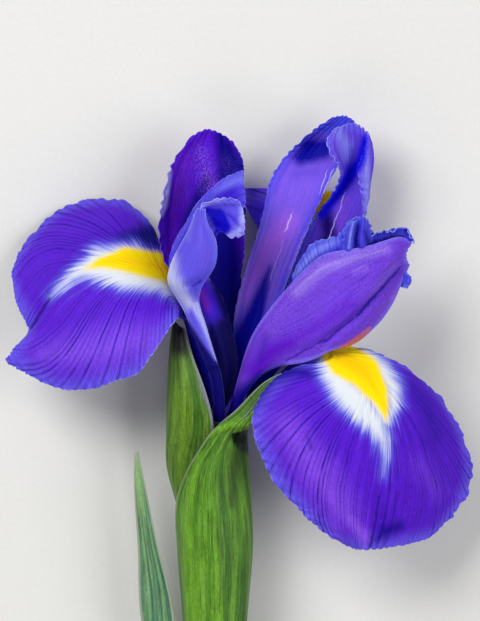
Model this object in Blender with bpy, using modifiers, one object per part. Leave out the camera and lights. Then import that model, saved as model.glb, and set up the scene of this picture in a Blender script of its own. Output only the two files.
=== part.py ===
"""Iris flower cut with a short stem, lying on its back on a surface.

Lengths are millimetres in the flower's own frame: X across the bloom, Y from the cut
stem to the petal tips, Z up from the surface, with zero at the throat where the petals
meet. Each petal is one thin sheet: rows of points run from its foot to its tip, and a
smooth surface goes through them.
"""
import math

import bmesh
import bpy
import numpy as np

MM = 0.001

# The stem and what wraps it. The throat is the centre of the flower tube's rim.
LIE_HEIGHT = 15.0
STEM_CUT = -150.0
STEM_TOP = -74.0
STEM_RADIUS = 3.2
SPATHE_FOOT = -80.0
OUTER_BRACT_FOOT = -84.0
SPATHE_MIDDLE = -3.1
THROAT = (-0.8, -2.0, 0.0)
STALK_GAP = 0.3
INNER_BRACT_GAP = 0.75
LEAF_SHEATH_GAP = 0.95
OUTER_BRACT_GAP = 2.2
WRAP_FLATNESS = 0.94

# Walls, and the rings round the throat where petals, style arms and stamens stand.
PETAL_WALL = 0.7
LEAF_WALL = 0.8
FOOT_LIFT = 0.6
FOOT_GAP = 0.65
CLAW_RING = 3.8
CLAW_HALF_ANGLE = 24.0
STYLE_RING = 1.15
STYLE_HALF = 1.1
STAMEN_RING = 2.7
STAMEN_LIFT = 0.3
STAMEN_STEPS = 16
FILAMENT_RADIUS = 0.42
ANTHER_RADIUS = 0.9

# A scallop's turn, in radians for each step of the grid, with a slower one that varies its size.
SIDE_SCALLOP = 2.4
SIDE_SWELL = 0.9
TIP_SCALLOP = 2.6

# Directions round the stem in degrees from +X, clockwise as seen from its cut end.
LEFT = 190.0
RIGHT = 310.0
REAR = 70.0
LEFT_STANDARD = 130.0
FRONT_STANDARD = 250.0
RIGHT_STANDARD = 10.0

PLACE = (-1.98, 44.98, LIE_HEIGHT)

VIOLET = (0.13, 0.045, 0.62, 1.0)
DEEP_VIOLET = (0.07, 0.01, 0.34, 1.0)
PINK_VIOLET = (0.21, 0.07, 0.55, 1.0)
LAVENDER = (0.36, 0.32, 0.78, 1.0)
LEAF_GREEN = (0.16, 0.32, 0.03, 1.0)
STEM_GREEN = (0.12, 0.26, 0.03, 1.0)
POLLEN = (0.75, 0.55, 0.12, 1.0)


def clear_scene():
    for thing in list(bpy.data.objects):
        bpy.data.objects.remove(thing)


def finish(name, color, roughness):
    material = bpy.data.materials.new(name)
    material.use_nodes = True
    shader = material.node_tree.nodes["Principled BSDF"]
    shader.inputs["Base Color"].default_value = color
    shader.inputs["Roughness"].default_value = roughness
    shader.inputs["Metallic"].default_value = 0.0
    return material


def stem_height(y):
    """Height of the stem's axis: it slopes from the throat down to its cut end."""
    fall = LIE_HEIGHT - STEM_RADIUS
    return min(0.0, fall * y / -STEM_CUT)


def spline_weights(count, steps):
    """Weights of a natural cubic spline through evenly numbered points, at steps + 1 places."""
    bends_of = np.eye(count)
    jumps = np.zeros((count, count))
    for i in range(1, count - 1):
        bends_of[i, i - 1:i + 2] = (1.0, 4.0, 1.0)
        jumps[i, i - 1:i + 2] = (6.0, -12.0, 6.0)
    bends = np.linalg.solve(bends_of, jumps)
    points = np.eye(count)
    weights = []
    for place in np.linspace(0.0, count - 1.0, steps + 1):
        i = min(int(place), count - 2)
        f = place - i
        g = 1.0 - f
        bend = (g ** 3 - g) * bends[i] + (f ** 3 - f) * bends[i + 1]
        weights.append(g * points[i] + f * points[i + 1] + bend / 6.0)
    return np.array(weights)


def spread(row, count):
    """A row of three points becomes a longer one on the same parabola."""
    if len(row) == count:
        return row
    if len(row) > 3:
        return spline_weights(len(row), count - 1) @ np.array(row)
    near, middle, far = (np.array(point) for point in row)
    longer = []
    for t in np.linspace(0.0, 1.0, count):
        point = (1 - t) * (1 - 2 * t) * near + 4 * t * (1 - t) * middle + t * (2 * t - 1) * far
        longer.append(point)
    return longer


def claw_foot(direction, half_angle=CLAW_HALF_ANGLE, flip=False):
    """The foot of a petal: an arc on the rim of the flower tube."""
    turns = np.linspace(-half_angle, half_angle, 5)
    if flip:
        turns = turns[::-1]
    foot = []
    for turn in turns:
        angle = math.radians(direction + turn)
        x = THROAT[0] + CLAW_RING * math.cos(angle)
        z = THROAT[2] - CLAW_RING * math.sin(angle)
        foot.append((x, THROAT[1] + FOOT_LIFT, z))
    return foot


def style_foot(direction):
    """The foot of a style arm: a straight line across its side of the three-sided column."""
    angle = math.radians(direction)
    out = (math.cos(angle), -math.sin(angle))
    foot = []
    for reach in np.linspace(-STYLE_HALF, STYLE_HALF, 5):
        x = THROAT[0] + STYLE_RING * out[0] - reach * out[1]
        z = THROAT[2] + STYLE_RING * out[1] + reach * out[0]
        foot.append((x, THROAT[1] + FOOT_LIFT, z))
    return foot


def wrap(y, radius, start, end, count=5):
    """A row that wraps the stem's axis from one angle to another, seen along the stem."""
    row = []
    for angle in np.radians(np.linspace(start, end, count)):
        x = SPATHE_MIDDLE + radius * math.cos(angle)
        z = stem_height(y) + WRAP_FLATNESS * radius * math.sin(angle)
        row.append((x, y, z))
    return row


def sheet_points(rows, along, across):
    count = max(len(row) for row in rows)
    grid = np.array([spread(row, count) for row in rows], dtype=float)
    lengthways = spline_weights(grid.shape[0], along)
    crossways = spline_weights(grid.shape[1], across)
    return np.einsum("ai,ijk,bj->abk", lengthways, grid, crossways)


def crinkle(points, size, start):
    """Moves the margin in and out in small scallops, from the given share of the length."""
    along = points.shape[0]
    across = points.shape[1]
    moved = points.copy()
    for i in range(int(start * along), along):
        wave = size * math.sin(SIDE_SCALLOP * i) * math.cos(SIDE_SWELL * i)
        for edge, inner in ((0, 1), (across - 1, across - 2)):
            outward = points[i, edge] - points[i, inner]
            moved[i, edge] += wave * outward / np.linalg.norm(outward)
    for j in range(1, across - 1):
        outward = points[-1, j] - points[-2, j]
        wave = size * math.cos(TIP_SCALLOP * j)
        moved[-1, j] += wave * outward / np.linalg.norm(outward)
    return moved


def sheet(name, rows, material, along, across, wall=PETAL_WALL, scallop=0.0, start=0.4):
    """One leaf or petal: a grid laid through the rows, then given its thickness."""
    points = sheet_points(rows, along, across)
    if scallop:
        points = crinkle(points, scallop, start)
    lowest = wall / 2.0 - LIE_HEIGHT
    points[:, :, 2] = np.maximum(points[:, :, 2], lowest)
    shape = bmesh.new()
    bmesh.ops.create_grid(shape, x_segments=along, y_segments=across, size=1.0)
    shape.verts.ensure_lookup_table()
    for vert in shape.verts:
        i = round((vert.co.x + 1.0) / 2.0 * along)
        j = round((vert.co.y + 1.0) / 2.0 * across)
        vert.co = points[i, j] * MM
    bmesh.ops.triangulate(shape, faces=shape.faces, quad_method="FIXED")
    mesh = bpy.data.meshes.new(name)
    shape.to_mesh(mesh)
    shape.free()
    mesh.shade_smooth()
    mesh.materials.append(material)
    thing = bpy.data.objects.new(name, mesh)
    thickness = thing.modifiers.new("wall", "SOLIDIFY")
    thickness.thickness = wall * MM
    thickness.offset = 0.0
    thickness.use_quality_normals = True
    return thing


def rod(name, path, radii, material, sides):
    """A round stalk through the points, with its own radius at each."""
    line = bpy.data.curves.new(name, "CURVE")
    line.dimensions = "3D"
    line.bevel_depth = MM
    line.bevel_resolution = sides // 2 - 2
    line.use_fill_caps = True
    spline = line.splines.new("POLY")
    spline.points.add(len(path) - 1)
    for point, place, radius in zip(spline.points, path, radii):
        point.co = (place[0] * MM, place[1] * MM, place[2] * MM, 1.0)
        point.radius = radius
    line.materials.append(material)
    return bpy.data.objects.new(name, line)


def smooth_path(points, steps):
    grid = np.array(points, dtype=float)
    return spline_weights(len(points), steps) @ grid


def fall_left(material):
    rows = [
        claw_foot(LEFT, flip=True),
        [(-3.6, 6.0, 3.1), (-6.2, 7.4, 0.4), (-3.2, 8.2, -2.6)],
        [(-6.0, 13.6, 4.1), (-8.0, 15.4, 0.4), (-4.8, 16.0, -2.4)],
        [(-9.2, 19.4, 5.4), (-11.2, 23.6, 0.8), (-10.6, 27.6, -4.2)],
        [(-13.4, 15.4, 8.0), (-16.0, 28.2, 1.6), (-17.6, 40.2, -8.6)],
        [(-18.4, 8.6, 8.6), (-20.4, 19.6, 8.2), (-22.4, 29.2, 2.6), (-23.8, 37.8, -4.4),
         (-25.0, 43.6, -13.0)],
        [(-26.0, 6.0, 7.0), (-27.2, 17.0, 7.6), (-29.6, 28.0, 2.0), (-31.6, 36.2, -5.0),
         (-33.8, 42.0, -14.6)],
        [(-34.8, 5.2, 3.4), (-34.4, 14.6, 4.6), (-36.0, 24.4, 0.2), (-38.8, 31.8, -6.0),
         (-41.8, 34.8, -12.6)],
        [(-44.9, 10.8, -2.6), (-42.6, 13.8, -1.6), (-40.8, 17.4, -2.2), (-43.0, 22.2, -5.2),
         (-44.4, 27.6, -9.4)],
    ]
    return sheet("fall_left", rows, material, 20, 12, scallop=0.35)


def fall_right(material):
    rows = [
        claw_foot(RIGHT),
        [(3.6, 2.6, 5.2), (4.4, 4.4, 3.0), (4.6, 7.2, 0.8)],
        [(8.6, 7.4, 7.0), (9.8, 9.6, 4.6), (10.6, 12.8, 2.4)],
        [(13.6, 9.8, 9.4), (15.6, 12.2, 7.2), (17.4, 14.6, 5.0)],
        [(17.2, 10.4, 11.8), (22.6, 12.0, 10.8), (27.6, 13.0, 8.0)],
        [(10.2, 8.4, 12.2), (18.6, 7.4, 13.8), (27.6, 7.4, 13.4), (33.2, 9.4, 9.6), (37.0, 8.0, 6.0)],
        [(4.9, 0.0, 11.6), (16.4, 0.4, 14.4), (30.4, 0.4, 14.0), (38.6, 2.0, 9.4), (44.2, 0.4, 3.4)],
        [(7.0, -9.4, 10.8), (18.6, -8.4, 13.6), (31.0, -7.6, 13.0), (40.6, -7.8, 7.4), (48.6, -10.0, -1.6)],
        [(14.2, -19.4, 9.0), (22.0, -17.4, 11.2), (30.2, -16.6, 11.0), (39.2, -17.0, 5.6),
         (46.6, -18.0, -2.4)],
        [(22.4, -25.4, 6.6), (25.2, -26.6, 7.4), (28.4, -26.4, 7.8), (34.0, -26.2, 5.0), (40.6, -24.4, 0.4)],
    ]
    return sheet("fall_right", rows, material, 20, 12, scallop=0.35)


def fall_rear(material):
    rows = [
        claw_foot(REAR, flip=True),
        [(0.4, 9.0, -5.6), (2.6, 8.6, -7.0), (5.0, 8.0, -6.0)],
        [(5.0, 22.0, -9.6), (8.0, 21.4, -11.0), (11.0, 20.6, -10.2)],
        [(9.0, 33.0, -11.4), (13.6, 32.4, -12.6), (17.6, 31.0, -12.0)],
        [(5.4, 38.6, -11.4), (16.4, 40.0, -12.6), (24.0, 37.6, -12.4)],
        [(1.4, 45.5, -11.6), (18.4, 45.2, -12.4), (27.0, 43.0, -12.8)],
        [(4.4, 40.6, -13.8), (19.0, 41.8, -15.4), (27.2, 40.4, -15.4)],
        [(8.6, 32.0, -14.9), (19.2, 33.0, -15.4), (27.4, 32.6, -15.4)],
        [(12.0, 23.6, -14.9), (19.4, 20.0, -15.4), (26.0, 23.6, -15.4)],
    ]
    return sheet("fall_rear", rows, material, 20, 12, scallop=0.3)


def standard_left(material):
    rows = [
        claw_foot(LEFT_STANDARD, flip=True),
        [(-4.4, 9.4, -3.4), (-2.4, 9.4, -5.0), (-0.4, 9.8, -4.6)],
        [(-6.6, 19.4, -3.6), (-3.6, 20.0, -6.2), (1.8, 20.4, -5.4)],
        [(-7.8, 24.6, -1.6), (-4.4, 25.0, -6.4), (2.2, 25.2, -5.2)],
        [(-12.4, 29.8, 2.2), (-5.6, 30.4, -6.2), (2.4, 30.2, -4.0)],
        [(-14.2, 37.0, 1.6), (-6.8, 37.0, -6.2), (3.2, 37.4, -3.4)],
        [(-13.2, 44.6, -0.4), (-6.8, 45.0, -5.8), (2.8, 45.4, -2.6)],
        [(-11.2, 51.0, -1.2), (-5.4, 51.8, -4.6), (2.4, 51.0, -2.2)],
        [(-7.6, 56.0, -1.4), (-3.8, 57.1, -2.8), (0.6, 54.8, -2.0)],
    ]
    return sheet("standard_left", rows, material, 18, 10, scallop=0.2)


def standard_front(material):
    rows = [
        claw_foot(FRONT_STANDARD, half_angle=20.0),
        [(-3.8, 7.0, 5.6), (-2.6, 7.0, 6.4), (-1.6, 7.4, 6.2)],
        [(-6.8, 14.6, 7.2), (-5.4, 14.8, 8.2), (-4.0, 15.4, 7.8)],
        [(-9.4, 21.6, 8.2), (-7.8, 22.2, 9.2), (-6.4, 22.8, 8.8)],
        [(-12.0, 26.0, 8.8), (-9.2, 26.2, 11.0), (-5.4, 26.4, 9.6)],
        [(-11.4, 31.0, 9.0), (-8.0, 31.0, 11.4), (-3.0, 31.4, 10.4)],
        [(-8.4, 36.4, 9.2), (-5.8, 35.8, 10.8), (-2.8, 34.6, 10.4)],
        [(-6.2, 41.2, 9.6), (-3.8, 39.4, 9.0), (-2.0, 36.6, 10.8)],
        [(-2.0, 43.2, 10.2), (-0.6, 39.6, 7.8), (-0.4, 35.6, 10.4)],
        [(1.8, 43.0, 9.0), (2.9, 39.8, 8.2), (2.6, 35.8, 9.8)],
    ]
    return sheet("standard_front", rows, material, 20, 8, scallop=0.25, start=0.5)


def standard_right(material):
    rows = [
        claw_foot(RIGHT_STANDARD, flip=True),
        [(4.4, 9.0, -4.0), (6.0, 8.8, -4.6), (7.4, 8.4, -3.2)],
        [(9.6, 20.0, -6.4), (12.0, 19.6, -7.6), (14.6, 19.0, -5.8)],
        [(12.8, 29.6, -7.6), (16.6, 29.4, -9.2), (21.0, 29.0, -6.6)],
        [(15.2, 36.0, -7.6), (20.4, 36.4, -9.2), (26.8, 36.0, -5.4)],
        [(17.9, 40.6, -7.0), (19.4, 41.6, -7.8), (21.4, 42.4, -7.6), (24.6, 42.4, -6.0), (27.4, 42.0, -3.6),
         (27.0, 42.0, -2.4)],
        [(21.8, 46.4, -3.4), (22.8, 46.8, -5.2), (24.0, 46.8, -6.0), (26.4, 46.8, -4.6), (28.2, 46.4, -2.2),
         (26.4, 46.4, -0.9)],
        [(21.6, 50.4, 0.8), (23.2, 50.8, -2.2), (25.2, 51.0, -4.0), (27.2, 50.8, -3.2), (28.8, 50.4, -1.2),
         (25.8, 49.8, 0.3)],
        [(19.6, 53.8, 1.6), (22.6, 54.6, -0.6), (25.2, 55.0, -2.4), (27.4, 54.6, -2.2), (28.6, 53.8, -0.8),
         (27.2, 53.4, 0.6)],
        [(20.8, 57.6, 1.0), (22.8, 58.2, 0.2), (24.8, 58.4, -0.8), (26.6, 57.8, -1.0), (27.8, 56.6, -0.6),
         (27.6, 56.2, 0.2)],
    ]
    return sheet("standard_right", rows, material, 18, 12, scallop=0.2)


def style_arm_left(material):
    rows = [
        style_foot(LEFT),
        [(-2.2, 7.4, 3.5), (0.0, 8.2, 3.2), (1.4, 8.8, 0.4)],
        [(-4.6, 15.0, 4.4), (-2.0, 16.0, 5.0), (0.4, 16.8, 1.4)],
        [(-7.4, 20.6, 5.0), (-4.4, 22.2, 5.8), (-1.2, 22.6, 2.0)],
        [(-10.4, 25.2, 5.4), (-7.6, 26.8, 6.0), (-4.2, 27.2, 3.0)],
        [(-12.0, 31.4, 5.4), (-9.4, 31.2, 5.8), (-5.8, 30.8, 4.0)],
        [(-9.0, 38.2, 4.8), (-6.2, 37.0, 5.4), (-3.0, 35.8, 4.2)],
        [(-4.2, 45.0, 4.2), (-1.8, 42.8, 4.8), (0.8, 40.0, 4.0)],
        [(2.4, 49.0, 3.4), (3.0, 45.4, 3.8), (3.0, 41.6, 3.4)],
    ]
    return sheet("style_arm_left", rows, material, 18, 8, scallop=0.25, start=0.55)


def style_arm_right(material):
    rows = [
        [(0.7, -1.4, 1.2), (0.1, -1.4, 1.1), (-0.7, -1.3, 0.7)],
        [(4.2, 5.6, 6.6), (2.8, 7.4, 6.6), (2.4, 10.0, 4.2)],
        [(9.2, 9.6, 9.6), (8.4, 12.0, 10.8), (7.0, 14.6, 10.8), (5.8, 18.0, 8.4), (6.8, 20.0, 6.0),
         (7.6, 21.2, 4.6)],
        [(15.2, 10.8, 13.2), (15.0, 13.6, 14.2), (14.4, 18.4, 14.6), (12.8, 25.6, 10.6), (12.8, 27.0, 8.4),
         (13.2, 28.2, 7.0)],
        [(20.2, 13.0, 13.4), (20.0, 15.4, 15.0), (20.8, 22.4, 15.6), (19.6, 31.8, 11.4), (20.2, 33.2, 9.0),
         (20.6, 34.4, 7.8)],
        [(25.4, 14.8, 12.2), (24.6, 18.4, 14.6), (26.0, 26.4, 15.2), (25.6, 33.8, 12.0), (25.2, 36.2, 9.6),
         (24.8, 40.0, 8.6)],
        [(31.0, 20.2, 10.0), (29.0, 23.4, 13.2), (30.0, 29.0, 14.2), (30.6, 34.6, 11.6), (30.2, 35.6, 9.0),
         (29.6, 36.2, 7.6)],
        [(33.4, 25.4, 8.6), (32.6, 27.6, 11.0), (32.8, 31.4, 12.4), (33.6, 34.6, 10.6), (33.6, 36.4, 8.2),
         (33.8, 37.6, 6.6)],
        [(35.6, 30.4, 7.6), (35.2, 31.2, 9.0), (35.0, 32.6, 10.0), (35.4, 34.0, 9.0), (36.2, 34.6, 7.2),
         (36.4, 35.2, 5.8)],
    ]
    return sheet("style_arm_right", rows, material, 20, 12, scallop=0.25, start=0.6)


def style_arm_rear(material):
    rows = [
        style_foot(REAR),
        [(0.6, 9.6, -2.4), (2.0, 9.4, -4.0), (4.0, 9.0, -2.6)],
        [(0.9, 19.6, -3.2), (5.0, 19.2, -5.0), (8.6, 18.6, -4.0)],
        [(3.2, 29.2, -4.6), (7.8, 28.8, -5.6), (12.0, 28.0, -5.2)],
        [(6.2, 39.2, -5.0), (11.6, 38.8, -5.8), (16.3, 38.6, -4.8)],
        [(9.0, 48.6, -5.4), (14.6, 47.4, -6.0), (19.9, 46.4, -4.4)],
        [(14.0, 54.8, -5.4), (17.6, 53.2, -7.0), (22.6, 51.4, -4.0)],
        [(17.8, 58.0, -4.6), (20.8, 57.2, -5.4), (24.4, 55.6, -3.6)],
        [(20.6, 59.6, -3.6), (23.4, 59.9, -3.2), (25.8, 57.9, -3.0)],
    ]
    return sheet("style_arm_rear", rows, material, 20, 10, scallop=0.25, start=0.6)


def spathe_front(material):
    rows = [
        wrap(OUTER_BRACT_FOOT, STEM_RADIUS + INNER_BRACT_GAP, 205.0, -35.0),
        wrap(-79.0, STEM_RADIUS + OUTER_BRACT_GAP, 205.0, -35.0),
        wrap(-62.0, 5.8, 205.0, -35.0),
        wrap(-42.0, 6.5, 200.0, -30.0),
        wrap(-26.0, 7.7, 190.0, -20.0),
        [(-10.4, -15.6, 1.6), (-7.6, -13.6, 5.0), (-3.2, -12.4, 6.6), (1.6, -12.4, 4.8), (4.2, -13.6, 0.0)],
        [(-6.2, -7.0, 5.8), (-4.0, -6.6, 6.8), (-1.6, -6.2, 7.2), (1.4, -6.2, 6.6), (3.6, -6.6, 3.8)],
        [(-2.5, -2.1, 7.0), (-1.0, -2.2, 7.4), (0.6, -2.3, 7.6), (2.2, -2.4, 7.4), (3.8, -2.6, 6.8)],
        [(1.4, 1.2, 8.0), (3.6, 0.4, 8.2), (5.4, -0.2, 7.8)],
        [(6.0, 5.9, 9.4), (6.8, 4.8, 9.4), (7.6, 3.8, 9.0)],
        [(10.2, 8.4, 10.2), (10.6, 8.0, 10.2), (10.9, 7.6, 10.1)],
    ]
    return sheet("spathe_bract_front", rows, material, 20, 8, wall=LEAF_WALL)


def spathe_back(material):
    inner = STEM_RADIUS + INNER_BRACT_GAP
    rows = [
        wrap(SPATHE_FOOT, inner, 160.0, 380.0),
        wrap(-62.0, 4.4, 160.0, 380.0),
        wrap(-42.0, 5.1, 150.0, 370.0),
        wrap(-26.0, 6.1, 145.0, 360.0),
        [(-4.6, -12.0, 3.2), (-11.7, -12.0, -2.8), (-10.6, -12.0, -6.2), (-4.2, -12.0, -7.4),
         (1.6, -12.0, -5.6)],
        [(-3.4, -1.0, 5.6), (-10.2, -1.0, 3.4), (-12.5, -1.0, -2.0), (-8.8, -1.0, -6.4),
         (-3.4, -1.0, -7.4)],
        [(-6.8, 10.2, 4.6), (-10.4, 10.6, 3.0), (-12.1, 10.8, -0.6), (-10.8, 10.6, -3.8),
         (-8.2, 10.2, -5.2)],
        [(-9.2, 17.2, 2.6), (-10.6, 18.2, 1.6), (-11.2, 18.8, 0.4), (-11.0, 18.2, -0.8), (-10.4, 17.4, -1.8)],
    ]
    return sheet("spathe_bract_back", rows, material, 18, 8, wall=LEAF_WALL)


def stem_leaf(material):
    sheath = STEM_RADIUS + LEAF_SHEATH_GAP
    rows = [
        wrap(-126.0, sheath, 40.0, 320.0, count=9),
        wrap(-108.0, sheath + 0.2, 50.0, 310.0, count=9),
        [(-3.4, -99.0, -3.0), (-9.2, -99.0, -7.8), (-4.6, -99.0, -12.6)],
        [(-6.2, -90.0, -2.2), (-10.6, -90.0, -7.4), (-7.4, -90.0, -12.6)],
        [(-10.2, -68.0, -0.4), (-13.8, -68.0, -4.4), (-12.0, -68.0, -9.4)],
        [(-11.0, -44.0, -1.0), (-14.2, -44.0, -3.4), (-17.6, -44.0, -5.4)],
        [(-13.9, -29.0, -1.6), (-15.9, -29.0, -3.0), (-18.5, -29.0, -4.4)],
        [(-16.6, -17.0, -2.6), (-17.8, -17.0, -3.2), (-19.2, -17.0, -4.0)],
        [(-18.6, -7.8, -3.4), (-18.9, -7.6, -3.5), (-19.2, -7.8, -3.6)],
    ]
    return sheet("stem_leaf", rows, material, 18, 8, wall=LEAF_WALL)


def stem(material):
    ends = np.linspace(STEM_CUT, STEM_TOP, 8)
    path = [(SPATHE_MIDDLE, y, stem_height(y)) for y in ends]
    radii = [STEM_RADIUS] * len(path)
    return rod("stem", path, radii, material, 12)


def ovary(material):
    """Stalk, ovary and the short flower tube that flares under the petals."""
    rim = THROAT[1] + FOOT_LIFT - FOOT_GAP
    stations = [
        (STEM_TOP + STALK_GAP, 1.7), (-66.0, 1.5), (-58.0, 1.6), (-50.0, 2.4), (-40.0, 2.9),
        (-28.0, 3.0), (-17.0, 2.6), (-9.0, 2.1), (-5.0, 2.6), (rim, 4.4),
    ]
    path = []
    for y, radius in stations:
        lean = (y - THROAT[1]) / (STEM_TOP - THROAT[1])
        x = THROAT[0] + (SPATHE_MIDDLE - THROAT[0]) * math.sin(lean * math.pi / 2.0)
        path.append((x, y, stem_height(y)))
    return rod("ovary", path, [radius for y, radius in stations], material, 12)


def anther_swell(along):
    """How far the stalk has swelled into its anther: it starts halfway and tapers at the tip."""
    rise = min(1.0, max(0.0, (along - 0.5) * 8.0))
    taper = min(1.0, (1.0 - along) * 6.0 + 0.3)
    return rise * taper


def stamen(name, direction, route, material):
    """A thin filament with its long anther under the style arm."""
    angle = math.radians(direction)
    foot = (
        THROAT[0] + STAMEN_RING * math.cos(angle),
        THROAT[1] + STAMEN_LIFT,
        THROAT[2] - STAMEN_RING * math.sin(angle),
    )
    path = smooth_path([foot] + route, STAMEN_STEPS)
    radii = []
    for i in range(STAMEN_STEPS + 1):
        swell = anther_swell(i / STAMEN_STEPS)
        radii.append(FILAMENT_RADIUS + (ANTHER_RADIUS - FILAMENT_RADIUS) * swell)
    return rod(name, path, radii, material, 8)


def build():
    clear_scene()
    collection = bpy.data.collections.new("iris_flower")
    bpy.context.scene.collection.children.link(collection)
    stand = bpy.data.objects.new("iris_flower", None)
    collection.objects.link(stand)
    stand.location = [length * MM for length in PLACE]
    violet = finish("violet petal", VIOLET, 0.5)
    parts = [
        stem(finish("stem green", STEM_GREEN, 0.45)),
        stem_leaf(finish("leaf green", LEAF_GREEN, 0.5)),
        spathe_back(finish("back bract green", LEAF_GREEN, 0.5)),
        spathe_front(finish("front bract green", LEAF_GREEN, 0.45)),
        ovary(finish("ovary green", STEM_GREEN, 0.5)),
        fall_left(violet),
        fall_right(finish("right fall violet", VIOLET, 0.5)),
        fall_rear(finish("rear fall violet", VIOLET, 0.5)),
        standard_left(finish("deep violet petal", DEEP_VIOLET, 0.55)),
        standard_front(finish("lavender petal", LAVENDER, 0.5)),
        standard_right(finish("right standard violet", VIOLET, 0.5)),
        style_arm_left(finish("left style violet", DEEP_VIOLET, 0.45)),
        style_arm_right(finish("pink violet style", PINK_VIOLET, 0.5)),
        style_arm_rear(finish("rear style violet", PINK_VIOLET, 0.5)),
    ]
    routes = {
        "left": (LEFT, [(-3.0, 7.4, 1.4), (-4.6, 14.6, 2.0), (-7.0, 20.4, 2.8)]),
        "right": (RIGHT + 18.0, [(1.75, 0.6, 1.7), (2.7, 4.0, 3.2), (5.6, 8.0, 4.8), (9.4, 12.4, 7.0),
                                 (16.4, 16.6, 10.0)]),
        "rear": (REAR, [(1.8, 9.2, -5.4), (6.4, 19.6, -8.2), (10.4, 28.8, -9.8)]),
    }
    pollen = finish("stamen", POLLEN, 0.7)
    for side, (direction, route) in routes.items():
        parts.append(stamen("stamen_" + side, direction, route, pollen))
    for part in parts:
        part.parent = stand
        collection.objects.link(part)


build()
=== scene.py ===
"""Looks of the iris flower: fine petals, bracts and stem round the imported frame.

Lengths are millimetres in the flower's own frame, as in the part: X across the bloom, Y from
the cut stem to the petal tips, Z up from the surface, zero at the throat. Each petal is a grid
laid through rows of points that run from its foot to its tip, with its frills, pleats and veins.
"""
import math

import bmesh
import bpy
import numpy as np
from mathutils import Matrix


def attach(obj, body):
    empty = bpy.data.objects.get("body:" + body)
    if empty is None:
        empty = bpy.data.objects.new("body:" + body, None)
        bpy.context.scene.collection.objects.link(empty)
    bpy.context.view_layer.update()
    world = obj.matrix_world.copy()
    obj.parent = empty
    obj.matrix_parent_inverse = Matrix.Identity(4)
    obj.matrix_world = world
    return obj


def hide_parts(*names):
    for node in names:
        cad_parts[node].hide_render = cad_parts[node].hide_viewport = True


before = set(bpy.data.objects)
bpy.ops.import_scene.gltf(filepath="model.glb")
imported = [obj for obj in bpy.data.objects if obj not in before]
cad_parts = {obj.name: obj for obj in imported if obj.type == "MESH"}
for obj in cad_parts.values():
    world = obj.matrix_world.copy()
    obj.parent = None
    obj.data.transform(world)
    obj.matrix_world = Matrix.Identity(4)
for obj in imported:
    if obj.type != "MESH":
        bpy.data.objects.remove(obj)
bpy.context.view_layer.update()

MM = 0.001

# The stem and what wraps it. The throat is the centre of the flower tube's rim.
LIE_HEIGHT = 15.0
STEM_CUT = -150.0
STEM_TOP = -74.0
STEM_RADIUS = 3.2
SPATHE_FOOT = -80.0
OUTER_BRACT_FOOT = -84.0
SPATHE_MIDDLE = -3.1
THROAT = (-0.8, -2.0, 0.0)
STALK_GAP = 0.3
INNER_BRACT_GAP = 0.75
LEAF_SHEATH_GAP = 0.95
OUTER_BRACT_GAP = 2.2
WRAP_FLATNESS = 0.94

# Walls, the margin's share of a wall, and the rings round the throat where petals, style arms and
# stamens stand.
PETAL_WALL = 0.36
LEAF_WALL = 0.5
MARGIN_WALL = 0.45
FOOT_LIFT = 0.6
FOOT_GAP = 0.65
CLAW_RING = 3.8
CLAW_HALF_ANGLE = 24.0
STYLE_RING = 1.15
STYLE_HALF = 1.1
STAMEN_RING = 2.7
STAMEN_LIFT = 0.3
STAMEN_STEPS = 40
STEM_RINGS = 40
OVARY_RINGS = 60
FOOT_POINTS = 5
FILAMENT_RADIUS = 0.42
ANTHER_RADIUS = 0.9

# Directions round the stem in degrees from +X, clockwise as seen from its cut end.
LEFT = 190.0
RIGHT = 310.0
REAR = 70.0
LEFT_STANDARD = 130.0
FRONT_STANDARD = 250.0
RIGHT_STANDARD = 10.0

PLACE = np.array((-1.98, 44.98, LIE_HEIGHT))

# The photograph's frame: where the camera looks, how much it sees, and how long its lens is.
VIEW_MIDDLE = (2.0, 20.9)
VIEW_HEIGHT = 124.2
VIEW_LEVEL = 5.0
LENS = 250.0
SENSOR = 36.0

# The board's size and how far it lies under the surface, in metres.
FLOOR_SIZE = 4.0
FLOOR_DROP = 0.0001

# What colour mixes and soft ranges are set to, and the fields that a petal carries: its
# pigment, and painted shade and painted light.
MIX = {"data_type": "RGBA", "out": 2}
SMOOTH = {"interpolation_type": "SMOOTHSTEP"}
DEPTHS = ("signal", "halo")
PATCHES = ("shade_and_dark_pigment", "painted_light_and_tint", "pale", "flush_and_shade", "sparkle")

# The IOR of plant skin, which suits the board too.
SKIN_IOR = 1.42

# How far in from the margin frills reach and the wall thins, the widest gap between two veins, and the
# gaps from which the sheet puffs up between them, all in mm.
FRILL_REACH = 0.7
THIN_REACH = 2.0
WIDEST_GAP = 6.0
PUFF_GAP = 0.7
PUFF_GROWTH = 0.6

# Shares of the length over which frills, pleats and crimps grow, how fast the signal and halo end in mm
# to the whole length, how many scallops make a lobe, and the sharpest bend in degrees that looks smooth.
FRILL_GROWTH = 0.15
PLEAT_FOOT = 0.3
CRIMP_FOOT = 0.4
SIGNAL_FADE = 60.0
TEETH_TO_A_LOBE = 3.2
SMOOTH_BEND = 50.0

# Veins: mm from the middle of one, and mm of room between two. Real ones are 0.1 mm wide, too fine to
# show from here, so they are drawn 0.3 to 0.6 mm wide with soft edges. They wander by a share of a gap.
VEIN_EDGE = (0.05, 0.2)
BRANCH_EDGE = (0.05, 0.24)
BRANCH_ROOM = (0.9, 1.5)
VEIN_ROOM = (0.25, 0.75)
VEIN_WANDER = 0.35

# A vein breaks up about every 5 mm: the run along it is shrunk, so that each has a noise of its own.
BREAK_SCALE = 1.7
BREAK_STRETCH = 0.11

# A crease fades over this many mm at both ends.
CREASE_END = 0.8

# Leaf ribs: repeats to a gap between the leaf's veins, and how the run along them is shrunk.
RIBS = 2.6
RIB_BANDS = 0.45
RIB_STRETCH = 0.035

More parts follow.
